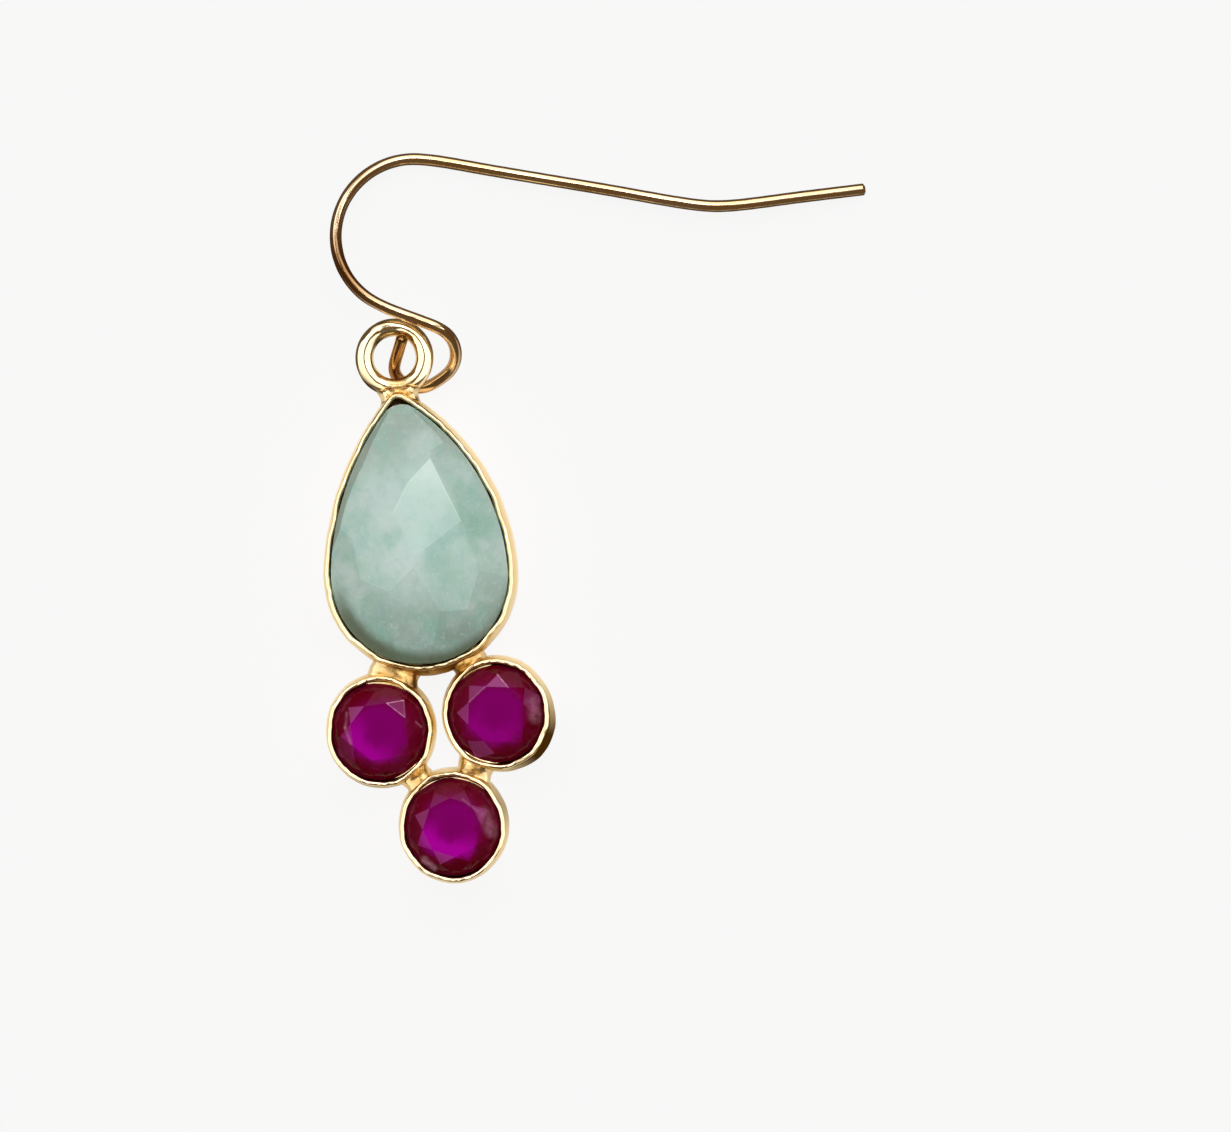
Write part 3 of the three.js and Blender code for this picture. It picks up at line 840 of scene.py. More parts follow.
# %% Hanging ring
def make_hanging_ring(stations=160, sides=40):
    """point = centre + (radius + wire * cos(phi)) outward along theta, and wire * sin(phi) up."""
    theta = (2 * np.pi * np.arange(stations) / stations)[:, None]
    phi = (2 * np.pi * np.arange(sides) / sides)[None, :]
    swell = 1 - 0.01 * (1 + ripple(np.arange(stations) / stations, 2, 9, 5)[:, None].clip(-1, 1))
    reach = RING["radius"] + RING["wire"] * swell * np.cos(phi)
    x, y, z = RING["centre"]
    grid = np.stack([x + reach * np.cos(theta), y + reach * np.sin(theta),
                     z + RING["wire"] * swell * np.sin(phi)], axis=2)
    points = grid.reshape(-1, 3)
    piece = make_piece("hanging_ring", points, grid_faces(stations, sides, loop=True),
                       pale_gold, "setting")
    # Painted shade: dark crescents on the outside at the lower left and the inside at the upper left.
    outside = 1.6 * np.exp(-((theta - math.radians(222)) / 0.42) ** 2) * (np.cos(phi) - 0.25).clip(0)
    inside = 1.4 * np.exp(-((theta - math.radians(128)) / 0.45) ** 2) * (-np.cos(phi) - 0.25).clip(0)
    give_numbers(piece, "crease", (outside + inside).clip(0, 1).ravel())
    give_numbers(piece, "stain", stain_at(points) * 0.8)


make_hanging_ring()

# %% [markdown]
# Molten solder wets both walls and draws itself into a saddle: narrow and low in the middle, wide
# and high where it meets the metal. Each joint is a stack of rounded sections across the gap,
# whose half width and top grow with the third power of the distance from the middle. Real solder
# sets in lumps, so slow random waves are added, which fade out where the joint meets the walls.

# %% Solder
def rounded_section(angle, power):
    """A softened square: each of cosine and sine keeps its sign and is raised to 2 / power."""
    c, s = np.cos(angle), np.sin(angle)
    return np.sign(c) * np.abs(c) ** (2 / power), np.sign(s) * np.abs(s) ** (2 / power)


def lumps(station, angle, seed, size):
    """Slow random lumps over a tube: a few products of waves along it and round it."""
    random = np.random.default_rng(seed)
    total = np.zeros(np.broadcast(station, angle).shape)
    for waves_along, waves_round in ((0.5, 2), (1.0, 3), (0.7, 4), (1.2, 1)):
        first, second = random.uniform(0, 2 * np.pi, 2)
        along = np.cos(waves_along * np.pi * station + first)
        total = total + along * np.cos(waves_round * angle + second)
    return size * total / 2


BRIDGE_SIDES = 36


def make_bridge(name, start, across, stations, half_width, low, high, seed, size, radii,
                beads=(), power=2.3):
    """Sections stand across the line start + station * across; each is as wide and high as its row.
    Toward either end they bend round that end's wall, by sideways^2 / (2 radius). Beads are lumps
    on top: place, radius and height."""
    angle = (2 * np.pi * np.arange(BRIDGE_SIDES) / BRIDGE_SIDES)[None, :]
    flat, tall = rounded_section(angle, power)
    side = np.array([-across[1], across[0]])
    share = np.linspace(-1, 1, len(stations))[:, None]
    bump = lumps(share, angle, seed, size) * (1 - share ** 4)
    sideways = (half_width[:, None] + bump) * flat
    z = (low + high)[:, None] / 2 + ((high - low)[:, None] / 2 + bump) * tall
    bend = share.clip(0) / radii[1] + share.clip(None, 0) / radii[0]
    forward = stations[:, None] + sideways ** 2 / 2 * bend
    plan = start + forward[..., None] * across + sideways[..., None] * side
    for x, y, radius, height in beads:
        apart = np.hypot(plan[..., 0] - x, plan[..., 1] - y)
        z = z + height * np.exp(-(apart / radius) ** 2) * (tall > 0)
    grid = np.concatenate([plan, z[..., None]], axis=2)
    piece, points = make_closed(name, grid, pale_gold, "setting")
    give_numbers(piece, "crease", np.zeros(len(points)))
    give_numbers(piece, "stain", stain_at(points))


SOLDER = {
    "pear_left": dict(width=1.35, flare=0.55, top=2.45, rise=0.30, seed=3),
    "pear_right": dict(width=1.00, flare=0.50, top=2.40, rise=0.30, seed=4),
    "left_bottom": dict(width=0.85, flare=0.50, top=2.35, rise=0.25, seed=8),
    "right_bottom": dict(width=0.95, flare=0.55, top=2.35, rise=0.30, seed=12),
}
SOLDER_BOTTOM, INTO_WALL, LUMP_SIZE = 0.25, 0.32, 0.13
SECTIONS = 25
share = np.linspace(-1, 1, SECTIONS)
grow = np.abs(share) ** 3
for name, form in SOLDER.items():
    place, across, gap, radii = JOINTS[name]
    make_bridge(f"solder_{name}", place, across, share * (gap / 2 + INTO_WALL),
                form["width"] + form["flare"] * grow, np.full(SECTIONS, SOLDER_BOTTOM),
                form["top"] + form["rise"] * grow, form["seed"], LUMP_SIZE, radii)

# %% [markdown]
# The neck is a pad of solder between the ring and the pear's tip. It is widest where it runs down
# the pear's flanks, narrow in the middle, and spreads again under the ring, where two beads of
# solder hold it. Its half width, top and underside are given at a few heights and then smoothed.

# %% Neck
NECK_WIDTH = ((7.35, 1.40), (7.8, 1.30), (8.3, 1.12), (8.8, 1.02), (9.2, 1.20), (9.45, 1.15),
              (9.65, 0.60))
NECK_TOP = ((7.35, 2.95), (8.0, 2.70), (8.6, 2.25), (9.0, 2.05), (9.35, 1.85), (9.65, 1.55))
NECK_LOW = ((7.35, 0.5), (8.5, 0.8), (9.3, 1.00), (9.65, 1.25))
NECK_BEADS = ((-0.62, 9.08, 0.42, 0.50), (0.78, 9.14, 0.40, 0.48))
NECK_SECTIONS = 41


def make_neck():
    """A bridge that runs up the middle line, with straight ends. A bell-shaped mean smooths it."""
    y = np.linspace(NECK_WIDTH[0][0], NECK_WIDTH[-1][0], NECK_SECTIONS)
    bell = np.hanning(9)[1:-1] / np.hanning(9).sum()
    half_width, top, low = (
        np.convolve(np.pad(np.interp(y, *zip(*rows)), 3, mode="edge"), bell, "valid")
        for rows in (NECK_WIDTH, NECK_TOP, NECK_LOW))
    make_bridge("neck", np.array([RING["centre"][0], 0.0]), np.array([0.0, 1.0]), y,
                half_width, low, top, 21, 0.05, (math.inf, math.inf), NECK_BEADS, 2.0)


make_neck()

# %% [markdown]
# The ear wire is one length of round wire. Its route follows the solid's: a straight tail and leg,
# an arch, a straight shank and a loop that dips under the ring and comes up through its hole. Only
# the bend between tail and leg is a little tighter. The line is a centripetal spline through the
# route's points, and a circle is carried along it.

# %% Wire route
TAIL = dict(end_x=26.34, y=16.85, bend_x=18.1, setback=0.7)
ARCH = dict(x=1.88, y=17.31, radius=4.2, start=73.2, end=241.9)
SHANK = 3.09
LOOP = dict(radius=1.43, sweep=130.0)
LEAN = 0.225
CLEARANCE = 0.02
CROSSING_GAP = 0.12


def arc_points(x, y, radius, start, end, count):
    angle = np.radians(np.linspace(start, end, count))
    return np.stack([x + radius * np.cos(angle), y + radius * np.sin(angle)], axis=1)


def hook_height(plan):
    """The hook leans on its crown and its tail: it rises with the distance from the line between."""
    crown = np.array([ARCH["x"], ARCH["y"] + ARCH["radius"]])
    line = np.array([TAIL["end_x"], TAIL["y"]]) - crown
    line = line / np.linalg.norm(line)
    away = plan - crown
    distance = line[1] * away[:, 0] - line[0] * away[:, 1]
    return WIRE_RADIUS + CLEARANCE + LEAN * distance.clip(0)


def route_points():
    """All points that the wire's middle line passes, from the tail's end to the loop's end."""
    tail_end = np.array([TAIL["end_x"], TAIL["y"]])
    bend = np.array([TAIL["bend_x"], TAIL["y"]])
    arch = arc_points(ARCH["x"], ARCH["y"], ARCH["radius"], ARCH["start"], ARCH["end"], 11)
    leg = (arch[0] - bend) / np.linalg.norm(arch[0] - bend)
    heading = math.radians(ARCH["end"] + 90)
    shank_end = arch[-1] + SHANK * np.array([math.cos(heading), math.sin(heading)])
    plan = np.array([
        tail_end, tail_end + 0.4 * (bend - tail_end), (TAIL["bend_x"] + TAIL["setback"], TAIL["y"]),
        bend + TAIL["setback"] * leg, bend + 0.4 * (arch[0] - bend), bend + 0.75 * (arch[0] - bend),
        *arch, (arch[-1] + shank_end) / 2])
    hook = np.column_stack([plan, hook_height(plan)])
    ring_x, ring_y, ring_z = RING["centre"]
    reach = RING["wire"] + WIRE_RADIUS + CROSSING_GAP
    under, over = ring_z - reach, ring_z + reach
    start = math.degrees(heading) + 90
    centre = shank_end + LOOP["radius"] * np.array([math.sin(heading), -math.cos(heading)])
    turn = arc_points(*centre, LOOP["radius"], start, start - LOOP["sweep"], 7)
    step = np.linspace(0, 1, 7)
    sink = step * step * (3 - 2 * step)
    loop = np.column_stack([turn, hook_height(shank_end[None]) * (1 - sink) + under * sink])
    through = np.array([
        (1.34, -1.78, under), (0.76, -1.68, under), (0.32, -1.40, under), (-0.09, -0.98, under + 0.1),
        (-0.13, -0.55, under + 0.45), (0.20, 0.19, ring_z + 0.15), (0.45, 0.68, over - 0.3),
        (0.61, 1.02, over)]) + (ring_x, ring_y, 0.0)
    return np.concatenate([hook, loop, through])


def spline_through(points, steps):
    """Centripetal spline: knots are spaced by the root of the distance between points."""
    padded = np.concatenate([[2 * points[0] - points[1]], points, [2 * points[-1] - points[-2]]])
    knots = np.concatenate([[0], np.cumsum(np.linalg.norm(np.diff(padded, axis=0), axis=1) ** 0.5)])
    place = np.linspace(knots[1], knots[-2], steps)
    k = np.clip(np.searchsorted(knots, place, side="right") - 1, 1, len(points) - 1)
    p0, p1, p2, p3 = (padded[k + shift] for shift in (-1, 0, 1, 2))
    t0, t1, t2, t3 = (knots[k + shift][:, None] for shift in (-1, 0, 1, 2))
    t = place[:, None]

    def between(first, second, start, end):
        return ((end - t) * first + (t - start) * second) / (end - start)

    a1, a2, a3 = between(p0, p1, t0, t1), between(p1, p2, t1, t2), between(p2, p3, t2, t3)
    return between(between(a1, a2, t0, t2), between(a2, a3, t1, t3), t1, t2)


def even_steps(line, count):
    """The same line with its points at equal distances along it."""
    length = np.concatenate([[0], np.cumsum(np.linalg.norm(np.diff(line, axis=0), axis=1))])
    marks = np.linspace(0, length[-1], count)
    even = np.stack([np.interp(marks, length, line[:, axis]) for axis in range(3)], axis=1)
    return even, length[-1]


def eased(line, reach, spacing):
    """A running mean along the line, with bell-shaped weights, that keeps both ends in place."""
    count = int(3 * reach / spacing)
    weight = np.exp(-0.5 * (np.arange(-count, count + 1) * spacing / reach) ** 2)
    ahead = 2 * line[0] - line[count:0:-1]
    behind = 2 * line[-1] - line[-2:-count - 2:-1]
    padded = np.concatenate([ahead, line, behind])
    weight /= weight.sum()
    return np.stack([np.convolve(padded[:, axis], weight, "valid") for axis in range(3)], axis=1)


SPLINE_STEPS, FINE_STEPS, WIRE_STEPS = 4000, 3000, 520
EASE_REACH = 0.32
fine_line, wire_length = even_steps(spline_through(route_points(), SPLINE_STEPS), FINE_STEPS)
eased_line = eased(fine_line, EASE_REACH, wire_length / (FINE_STEPS - 1))
wire_line, wire_length = even_steps(eased_line, WIRE_STEPS)
print("ear wire is", round(wire_length, 1), "mm long")

# %% [markdown]
# The circle that is carried along the line must not spin, or the wire's skin would twist. So each
# step takes over the last step's sideways direction and only takes out what points along the line.

# %% Ear wire
def carried_frames(line):
    """Two directions across the line that turn as little as they can from step to step."""
    tangent = np.gradient(line, axis=0)
    tangent /= np.linalg.norm(tangent, axis=1)[:, None]
    side = np.empty_like(tangent)
    side[0] = np.cross(tangent[0], (0, 0, 1))
    for k in range(1, len(line)):
        side[k] = side[k - 1] - tangent[k] * (side[k - 1] @ tangent[k])
        side[k] /= np.linalg.norm(side[k])
    side[0] /= np.linalg.norm(side[0])
    return side, np.cross(tangent, side)


CUT_ROUNDING = 0.12
PAINTED_DARK_AT = dict(end=3.4, loop=39.5, bend=33.4)


def make_ear_wire(line, length, sides=28):
    """Circles stand across the line. Near both ends they shrink, which rounds the cut edge. The
    wire is painted brown, as painted dark reflection and painted shade, at its looped end, round
    the loop and at the arch's far bend."""
    count = len(line)
    side, up = carried_frames(line)
    place = np.linspace(0, length, count)
    from_end = np.minimum(place, length - place)
    ease = np.sqrt(1 - (1 - (from_end / CUT_ROUNDING).clip(0, 1)) ** 2)
    uneven = 1 - 0.006 * (1 + ripple(place / length, 20, 60, 2).clip(-1, 1))
    radius = WIRE_RADIUS * (0.55 + 0.45 * ease) * uneven
    angle = (2 * np.pi * np.arange(sides) / sides)[None, :, None]
    circle = np.cos(angle) * side[:, None] + np.sin(angle) * up[:, None]
    grid = line[:, None] + radius[:, None, None] * circle
    piece, _ = make_closed("ear_wire_drawn", grid, rose_gold, "ear_wire")
    along = np.concatenate([np.repeat(place, sides), [0, length]])
    around = np.concatenate([np.tile(np.abs(np.arange(sides) / sides - 0.5) * 2, count), [0.5, 0.5]])
    # Painted dark reflection and shade: brown at the looped end, round the loop and at the arch's far
    # bend.
    dark_at_end = ((along - length + PAINTED_DARK_AT["end"]) / 0.8).clip(0, 1)
    dark_round_loop = 0.45 * ((along - PAINTED_DARK_AT["loop"]) / 1.5).clip(0, 1)
    dark_at_bend = np.exp(-((along - PAINTED_DARK_AT["bend"]) / 2.5) ** 2)
    give_numbers(piece, "aged", np.maximum.reduce([dark_at_end, dark_round_loop, dark_at_bend]))
    corners = np.empty(len(piece.data.loops), dtype=np.int32)
    piece.data.loops.foreach_get("vertex_index", corners)
    map_places = np.stack([along[corners] / 10, around[corners]], axis=1)
    uv = piece.data.uv_layers.new(name="UVMap")
    uv.data.foreach_set("uv", map_places.ravel().astype(np.float32))


make_ear_wire(wire_line, wire_length)

# %% [markdown]
# A cut stone is everything that lies below all of its facets' planes. Each facet starts as a large
# square on its own plane and every other plane trims it, as a cutter's wheel would. What is left
# of each square is the facet, and facets that meet share their corners once these are merged.

# %% Stone cutting
SQUARE_HALF = 40
TOUCHING = 1e-9


def trim(corners, normal, reach):
    """Keeps the part of a flat polygon where normal . point is at most reach."""
    height = corners @ normal - reach
    if (height <= TOUCHING).all():
        return corners
    kept = []
    for k, (a, b) in enumerate(zip(corners, np.roll(corners, -1, axis=0))):
        ha, hb = height[k], height[(k + 1) % len(corners)]
        if ha <= 0:
            kept.append(a)
        if (ha < 0 < hb) or (hb < 0 < ha):
            kept.append(a + (b - a) * ha / (ha - hb))
    return np.array(kept)


def cut_stone(planes):
    """Polygons of the solid below all planes, with the number of the plane that each lies on."""
    normals, reaches = planes[:, :3], planes[:, 3]
    facets = []
    for k, (normal, reach) in enumerate(zip(normals, reaches)):
        spare = np.eye(3)[np.argmin(np.abs(normal))]
        side = np.cross(normal, spare)
        side /= np.linalg.norm(side)
        up = np.cross(normal, side)
        square = normal * reach + SQUARE_HALF * np.array([side + up, up - side, -side - up, side - up])
        for other in range(len(planes)):
            if other != k and len(square) > 2:
                square = trim(square, normals[other], reaches[other])
        if len(square) > 2:
            facets.append((k, square))
    return facets


def plane_rows(slope_x, slope_y, height):
    """Planes z = height - slope_x * x - slope_y * y as rows of unit normal and reach."""
    rows = np.stack(np.broadcast_arrays(slope_x, slope_y, 1.0, height), axis=-1).reshape(-1, 4)
    return rows / np.linalg.norm(rows[:, :3], axis=1)[:, None]


def merge_corners(facets, decimals=4):
    """One list of points, in which corners that round to the same place are the same point."""
    corners = np.concatenate([polygon for _, polygon in facets])
    _, first, same = np.unique(np.round(corners, decimals), axis=0,
                               return_index=True, return_inverse=True)
    ends = np.cumsum([len(polygon) for _, polygon in facets])[:-1]
    faces, numbers = [], []
    for (number, _), run in zip(facets, np.split(same.ravel(), ends)):
        face = run[run != np.roll(run, 1)].tolist()
        if len(face) > 2:
            faces.append(face)
            numbers.append(number)
    return corners[first], faces, np.array(numbers)


SHARP_ANGLE = 9


def make_stone(name, planes, centre, finish, node, edge):
    """Cuts the stone, moves it to its centre and softens its edges by the width given."""
    points, faces, numbers = merge_corners(cut_stone(planes))
    piece = make_piece(name, points + np.array(centre), faces, finish, node)
    bevel = piece.modifiers.new("worn_edges", "BEVEL")
    bevel.width = edge * MM
    bevel.segments = 2
    bevel.limit_method = "ANGLE"
    bevel.angle_limit = math.radians(SHARP_ANGLE)
    bevel.harden_normals = True
    return piece, planes[numbers]


# %% [markdown]
# The pear stone's top is a low dome covered with flat facets that touch it. Each facet is known
# by its touching point, and two facets meet half way between theirs, on a plan shrunk by the root
# of the dome's curve along each axis. One long kite near the middle stands out, and the others lie
# round it. A steep belt of narrow facets runs from the dome down to the upright side. Each facet
# of the dome carries a number for painted light: from 0 to 1 for how much painted shade darkens
# it, and -1 for the kite, which gets a painted highlight.

# %% Pear stone
DOME = dict(x=0.05, y=1.5, curve_x=6.0, curve_y=14.0, top=4.85)
BELT = dict(side_top=3.15, slope=2.0)
FACETS = (
    (0.30, 0.30), (1.26, 0.80), (-0.17, 1.13), (-0.40, 0.95), (-0.78, -0.23), (0.67, -0.64),
    (0.95, 1.75), (-0.28, -1.25), (1.80, -0.28), (-1.30, 0.62), (-0.95, 1.70), (0.10, 2.10),
    (0.62, -1.75), (-1.15, -1.20), (1.55, -1.25), (-1.85, -0.35),
)
# Painted shade for each facet, from 0 to 1, and -1 for the kite's painted highlight.
FACET_SHADINGS = (-1.0, 0.16, 0.18, 0.22, 0.0, 0.0, 0.10, 0.0, 0.0, 0.04, 0.14, 0.22, 0.0, 0.0, 0.0, 0.0)
STONE_TIP_RADIUS = 1.2
STONE_COLUMNS = 84
PEAR_EDGE, ROUND_EDGE = 0.05, 0.03


def upright_planes(corners):
    """Upright planes through each edge of an outline, and the edges' outward directions."""
    edge = np.roll(corners, -1, axis=0) - corners
    outward = np.stack([edge[:, 1], -edge[:, 0]], axis=1) / np.linalg.norm(edge, axis=1)[:, None]
    reach = (outward * corners).sum(axis=1)
    return np.column_stack([outward, np.zeros(len(corners)), reach]), outward


def dome_planes():
    """Planes that touch z = top - (x^2 / curve_x + y^2 / curve_y) / 2 at the facets' points."""
    u, v = np.array(FACETS).T
    x, y = math.sqrt(DOME["curve_x"]) * u, math.sqrt(DOME["curve_y"]) * v
    slope_x, slope_y = x / DOME["curve_x"], y / DOME["curve_y"]
    touch = DOME["top"] - (u ** 2 + v ** 2) / 2
    height = touch + slope_x * (x + DOME["x"]) + slope_y * (y + DOME["y"])
    return plane_rows(slope_x, slope_y, height)


def belt_shade(normals):
    """How far a steep facet turns to the lower left, away from the light, and 0 on the dome."""
    away = (normals[:, :2] @ (-0.80, -0.60) / 0.9).clip(0, 1)
    return (0.03 + 0.92 * away ** 1.2) * (normals[:, 2] < 0.6)


def dome_facet_shading(normals):
    """Each facet's painted shade, found by its slope, and 0 on the belt, the sides and the underside.
    """
    tone = np.zeros(len(normals))
    for (u, v), amount in zip(FACETS, FACET_SHADINGS):
        slope = np.array([u / math.sqrt(DOME["curve_x"]), v / math.sqrt(DOME["curve_y"])])
        apart = np.linalg.norm(normals[:, :2] / normals[:, 2:].clip(0.1) - slope, axis=1)
        tone[(apart < 0.01) & (normals[:, 2] > 0.5)] = amount
    return tone


def make_pear_stone():
    base, outward = pear_outline(STONE_COLUMNS, tip_radius=STONE_TIP_RADIUS, spare=0.0)
    corners = base - STONE_GAP * outward
    sides, facing = upright_planes(corners)
    slope = BELT["slope"]
    belt_height = BELT["side_top"] + slope * (facing * corners).sum(axis=1)
    belt = plane_rows(slope * facing[:, 0], slope * facing[:, 1], belt_height)
    underside = np.array([[0.0, 0.0, -1.0, -(CUP_FLOOR + STONE_GAP)]])
    planes = np.concatenate([sides, belt, dome_planes(), underside])
    piece, of_faces = make_stone("pear_stone_cut", planes, (0, 0, 0), grey_green, "pear_stone",
                                 PEAR_EDGE)
    # Painted shade: the belt by how far each facet turns from the light, and each dome facet by its
    # own number.
    give_numbers(piece, "crease", belt_shade(of_faces[:, :3]), "FACE")
    give_numbers(piece, "tone", dome_facet_shading(of_faces[:, :3]), "FACE")
    print("pear stone has", int((of_faces[:, 2] > 0.6).sum()), "facets on its dome")


make_pear_stone()

# %% [markdown]
# The round stones have an eight-sided table, eight star facets, eight main facets and sixteen
# narrow girdle facets, over a pointed underside that the cup hides.

# %% Round stones
ROUND = dict(girdle_z=2.55, table_z=3.22, table_radius=1.58, culet_z=0.62)
GIRDLE_RADIUS = OVAL[0] - STONE_GAP
GIRDLE_DEPTH = 0.15
CULET_RADIUS = 0.1
GIRDLE_SIDES = 44
STAR_SLOPE = 0.4
MAIN_SLOPE = (ROUND["table_z"] - ROUND["girdle_z"]) / (GIRDLE_RADIUS - ROUND["table_radius"])
GIRDLE_SLOPE = 0.95
HALF_STEP = math.pi / 8


def ring_of_planes(turns, slope, height):
    return plane_rows(slope * np.cos(turns), slope * np.sin(turns), height)


def round_stone_planes(turn):
    """Table, crown and underside planes about the stone's own centre."""
    turned = math.radians(turn)
    middles = turned + 2 * HALF_STEP * np.arange(8)
    beside = np.concatenate([middles - HALF_STEP / 2, middles + HALF_STEP / 2])
    table_z, table_radius, culet_z = ROUND["table_z"], ROUND["table_radius"], ROUND["culet_z"]
    edge = table_radius * math.cos(HALF_STEP)
    star_tip = ((edge * STAR_SLOPE - table_radius * MAIN_SLOPE)
                / (STAR_SLOPE - MAIN_SLOPE * math.cos(HALF_STEP)))
    star_tip_z = table_z - STAR_SLOPE * (star_tip - edge)
    angle = 2 * np.pi * np.arange(GIRDLE_SIDES) / GIRDLE_SIDES
    oval = (np.array(OVAL) - STONE_GAP) * np.stack([np.cos(angle), np.sin(angle)], axis=1)
    sides, _ = upright_planes(oval)
    under = HALF_STEP * np.arange(16) + turned
    fall = (ROUND["girdle_z"] - GIRDLE_DEPTH - culet_z) / (GIRDLE_RADIUS - CULET_RADIUS)
    below = ring_of_planes(under, fall, -(culet_z - fall * CULET_RADIUS)) * (1, 1, -1, 1)
    return np.concatenate([
        [[0, 0, 1, table_z]],
        ring_of_planes(middles, STAR_SLOPE, table_z + STAR_SLOPE * edge),
        ring_of_planes(middles + HALF_STEP, MAIN_SLOPE, table_z + MAIN_SLOPE * table_radius),
        ring_of_planes(beside, GIRDLE_SLOPE,
                       star_tip_z + GIRDLE_SLOPE * star_tip * math.cos(HALF_STEP / 2)),
        sides, below, [[0, 0, -1, -culet_z]],
    ])


# %% [markdown]
# A few facets of each stone carry a painted highlight. They are picked out by the angle that they
# face and how upright they are, which tells star facets from main ones. The other crown facets get
# a faint painted highlight of random strength. Every facet but the table also leans a little at
# random, which scatters what shows through it.

# %% Round stones in place
STAR, MAIN = (1 / math.hypot(1, slope) for slope in (STAR_SLOPE, MAIN_SLOPE))
GLINTS = {
    "left": ((45, STAR, 0.35), (135, STAR, 0.40), (180, STAR, 0.20), (202, MAIN, 0.15)),
    "right": ((81, STAR, 0.75), (126, STAR, 0.30), (171, STAR, 0.50), (238, MAIN, 0.40),
              (13, MAIN, 0.25)),
    "bottom": ((155, STAR, 0.45), (20, STAR, 0.35), (245, STAR, 0.40), (200, STAR, 0.20)),
}


def make_round_stone(name, cup, seed):
    """lean = the facet's slope, plus a random flaw everywhere but on the table."""
    centre = (*cup["centre"], 0.0)
    piece, of_faces = make_stone(f"round_stone_{name}_cut", round_stone_planes(cup["turn"]), centre,
                                 crimson[name], f"round_stone_{name}", ROUND_EDGE)
    count, upward = len(of_faces), of_faces[:, 2]
    random = np.random.default_rng(seed)
    flaw = random.uniform(-0.6, 0.6, (count, 2)) * (upward < 0.99)[:, None]
    slope = of_faces[:, :2] / np.abs(upward).clip(0.4)[:, None]
    give_numbers(piece, "lean", np.column_stack([slope + flaw, np.zeros(count)]), "FACE")
    # Painted highlights: faint at random on the crown, strong on the listed facets.
    glint = random.uniform(0, 0.05, count) * (upward > 0.5) * (upward <= 0.99)
    facing = np.degrees(np.arctan2(of_faces[:, 1], of_faces[:, 0]))
    for azimuth, steepness, amount in GLINTS[name]:
        apart = np.abs((facing - azimuth + 180) % 360 - 180)
        glint[(apart < 6) & (np.abs(upward - steepness) < 0.03)] = amount
    give_numbers(piece, "glint", glint, "FACE")


for seed, (name, cup) in enumerate(CUPS.items()):
    make_round_stone(name, cup, 70 + seed)

# %% [markdown]
# The table is a pale, matt sheet. It glows by itself, as a lit paper backdrop does, so shadows under
# the thin metal stay soft. Under the stones it also throws light at the metal, as a white card
# would, which turns the cups' upright walls cream. Beyond the ring, under the hook, it throws
# hardly any, and the wire stays brown.

# %% Table
TABLE_HALF = 1.5
TABLE_Z = -0.02
TABLE = dict(pale=(0.08, 0.08, 0.08), grain=(0.085, 0.085, 0.085), glow=0.902)
CARD = dict(paper=(0.60, 0.58, 0.55), paper_beyond=(0.20, 0.18, 0.15), glow=0.55,
            light=(1.0, 0.97, 0.92), light_beyond=(0.03, 0.02, 0.01))


def make_table():
    material, bench = new_finish("pale_table")
    place = bench.place_in_mm()
    grain = bench.noise(place, 0.4, 4.0)
    lit = bench.principled({
        "Base Color": bench.blend(grain, TABLE["pale"], TABLE["grain"]), "Roughness": 0.9,
        "Specular IOR Level": 0.0, "Emission Color": (1, 1, 1, 1), "Emission Strength": TABLE["glow"]})
    from_ring = bench.vector("DISTANCE", place, (*RING["centre"][:2], 0.0))
    beyond = bench.smooth(bench.parts(place)[1], 8.0, 10.5) * bench.smooth(from_ring, 2.3, 3.6)
    card = bench.principled({
        "Base Color": bench.blend(beyond, CARD["paper"], CARD["paper_beyond"]), "Roughness": 0.9,
        "Specular IOR Level": 0.0, "Emission Strength": CARD["glow"],
        "Emission Color": bench.blend(beyond, CARD["light"], CARD["light_beyond"])})
    close_finish(bench, bench.mix_shaders(bench.seen_directly(), card, lit))
    mesh = bpy.data.meshes.new("table")
    corners = [(x * TABLE_HALF, y * TABLE_HALF, 0) for x, y in ((-1, -1), (1, -1), (1, 1), (-1, 1))]
    mesh.from_pydata(corners, [], [(0, 1, 2, 3)])
    mesh.materials.append(material)
    table = bpy.data.objects.new("table", mesh)
    table.location.z = TABLE_Z * MM
    bpy.context.scene.collection.objects.link(table)


make_table()
print("table is", 2 * TABLE_HALF, "m across")

# %% [markdown]
# Polished metal shows only what is around it, so the studio is drawn with care: a dim, warm brown
# surround with two large lamps behind the earring, three small ones high above it, and a darker
# side from which the maker looks on. The surround gives the metal its brown lines. A narrow dark
# gap overhead is the camera itself. Seen directly, all of it is plain pale grey.

# %% Studio light
SURROUND_LOW, SURROUND_HIGH = (0.14, 0.085, 0.040), (0.12, 0.070, 0.030)
SHADE = (0.13, 0.09, 0.05)
BACKDROP = (0.94, 0.94, 0.94)
LAMPS_BEHIND = ((73, 37, 14, 27, (2.0, 1.9, 1.8)), (126, 44, 9, 18, (2.0, 2.0, 2.0)))
LAMPS_ABOVE = ((33, 73, 5, 11, (1.2, 1.2, 1.2)), (26, 55, 4, 8, (4.0, 4.0, 4.0)),
               (80, 68, 4, 8, (6.0, 6.0, 6.0)))


def aim_at(azimuth, elevation):
    """The direction at a compass angle and a height angle, in degrees."""
    a, e = math.radians(azimuth), math.radians(elevation)
    return Vector((math.cos(a) * math.cos(e), math.sin(a) * math.cos(e), math.sin(e)))


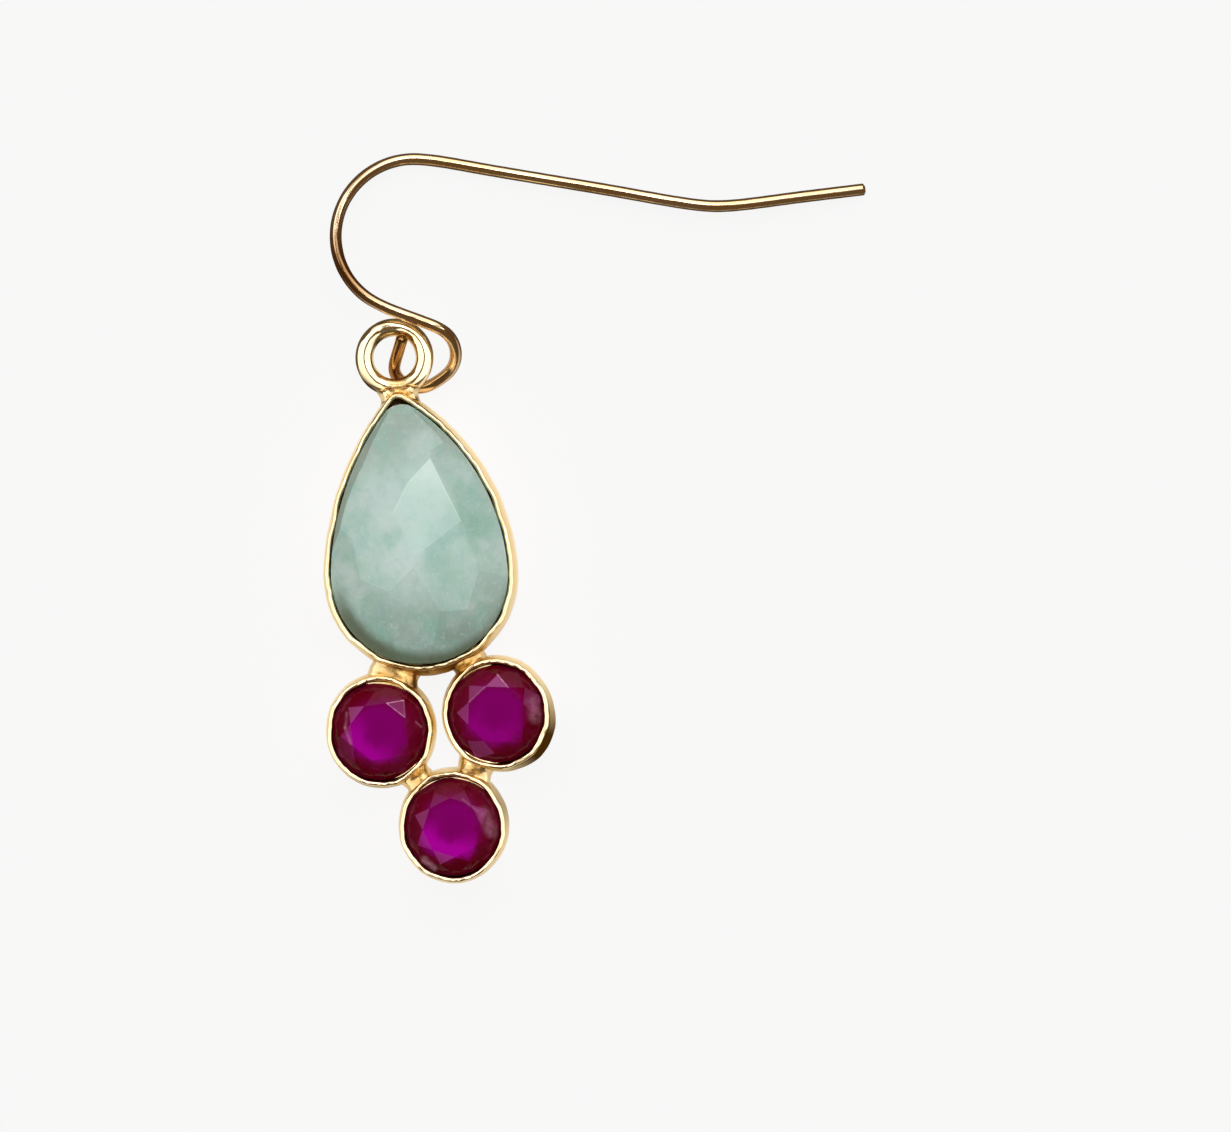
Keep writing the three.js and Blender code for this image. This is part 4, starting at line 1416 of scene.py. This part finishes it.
def make_studio():
    world = bpy.data.worlds.new("studio")
    bpy.context.scene.world = world
    world.use_nodes = True
    bench = Bench(world.node_tree)
    direction = bench.add("ShaderNodeTexCoord").outputs["Generated"]
    x, y, z = bench.parts(direction)

    def lamps(rows):
        """1 within inner degrees of a direction and 0 beyond outer degrees, with its colour."""
        for azimuth, elevation, inner, outer, colour in rows:
            dot = bench.vector("DOT_PRODUCT", direction, aim_at(azimuth, elevation))
            edge = math.cos(math.radians(outer)), math.cos(math.radians(inner))
            yield bench.smooth(dot, *edge), colour

    surround = bench.blend(bench.smooth(z, 0.0, 0.6), SURROUND_LOW, SURROUND_HIGH)
    above = 1 - bench.smooth(x * x, 0.004, 0.014)
    camera_gap = above * bench.smooth(z, 0.90, 0.97) * (1 - bench.smooth(y, 0.03, 0.10))
    in_front = bench.smooth(0 - y, 0.12, 0.30) * bench.smooth(z, 0.02, 0.12)
    near_middle = 1 - bench.smooth(x * x - (y * y) * 1.2, -0.15, 0.10)
    shade = camera_gap.at_least(in_front * near_middle).at_most(1.0)
    room = bench.paint(surround, *lamps(LAMPS_BEHIND), (shade, SHADE), *lamps(LAMPS_ABOVE),
                       (bench.seen_directly(), BACKDROP))
    background = bench.add("ShaderNodeBackground", {}, {"Color": room, "Strength": 1.0})
    bench.add("ShaderNodeOutputWorld", {}, {"Surface": background.outputs[0]})


make_studio()
print("studio is lit")

# %% [markdown]
# Three broad paper screens stand left, right and behind. They light only the setting, whose satin
# plating shows as cream. The polished ear wire is kept out of their light, so it stays brown
# between its bright lines. A fourth screen overhead lights only the stones, without showing in
# their polish.

# %% Paper screens
def make_screen(name, azimuth, elevation, distance, wide, tall, radiance, receivers, gloss=True):
    """A flat lamp that faces the earring. Power is radiance times pi times its area."""
    light = bpy.data.lights.new(name, "AREA")
    light.shape = "RECTANGLE"
    light.size, light.size_y = wide, tall
    light.energy = radiance * math.pi * wide * tall
    screen = bpy.data.objects.new(name, light)
    aim = aim_at(azimuth, elevation)
    screen.location = aim * distance
    screen.rotation_euler = aim.to_track_quat("Z", "Y").to_euler()
    screen.visible_camera = False
    screen.visible_glossy = gloss
    bpy.context.scene.collection.objects.link(screen)
    group = bpy.data.collections.new(f"{name}_receivers")
    for piece in receivers:
        group.objects.link(piece)
    screen.light_linking.receiver_collection = group


metal = [o for o in bpy.data.objects if o.type == "MESH" and o.data.materials[:] == [pale_gold]]
stones = [o for o in bpy.data.objects if o.name.endswith("_cut")]
make_screen("left_screen", 180, 40, 0.35, 0.55, 0.63, 1.5, metal)
make_screen("right_screen", 0, 40, 0.35, 0.55, 0.63, 1.5, metal)
make_screen("back_screen", 90, 25, 0.40, 0.50, 0.30, 0.8, metal)
make_screen("top_screen", 90, 86, 0.5, 0.5, 0.5, 2.1, stones, gloss=False)
print("screens light", len(metal), "metal pieces and", len(stones), "stones")
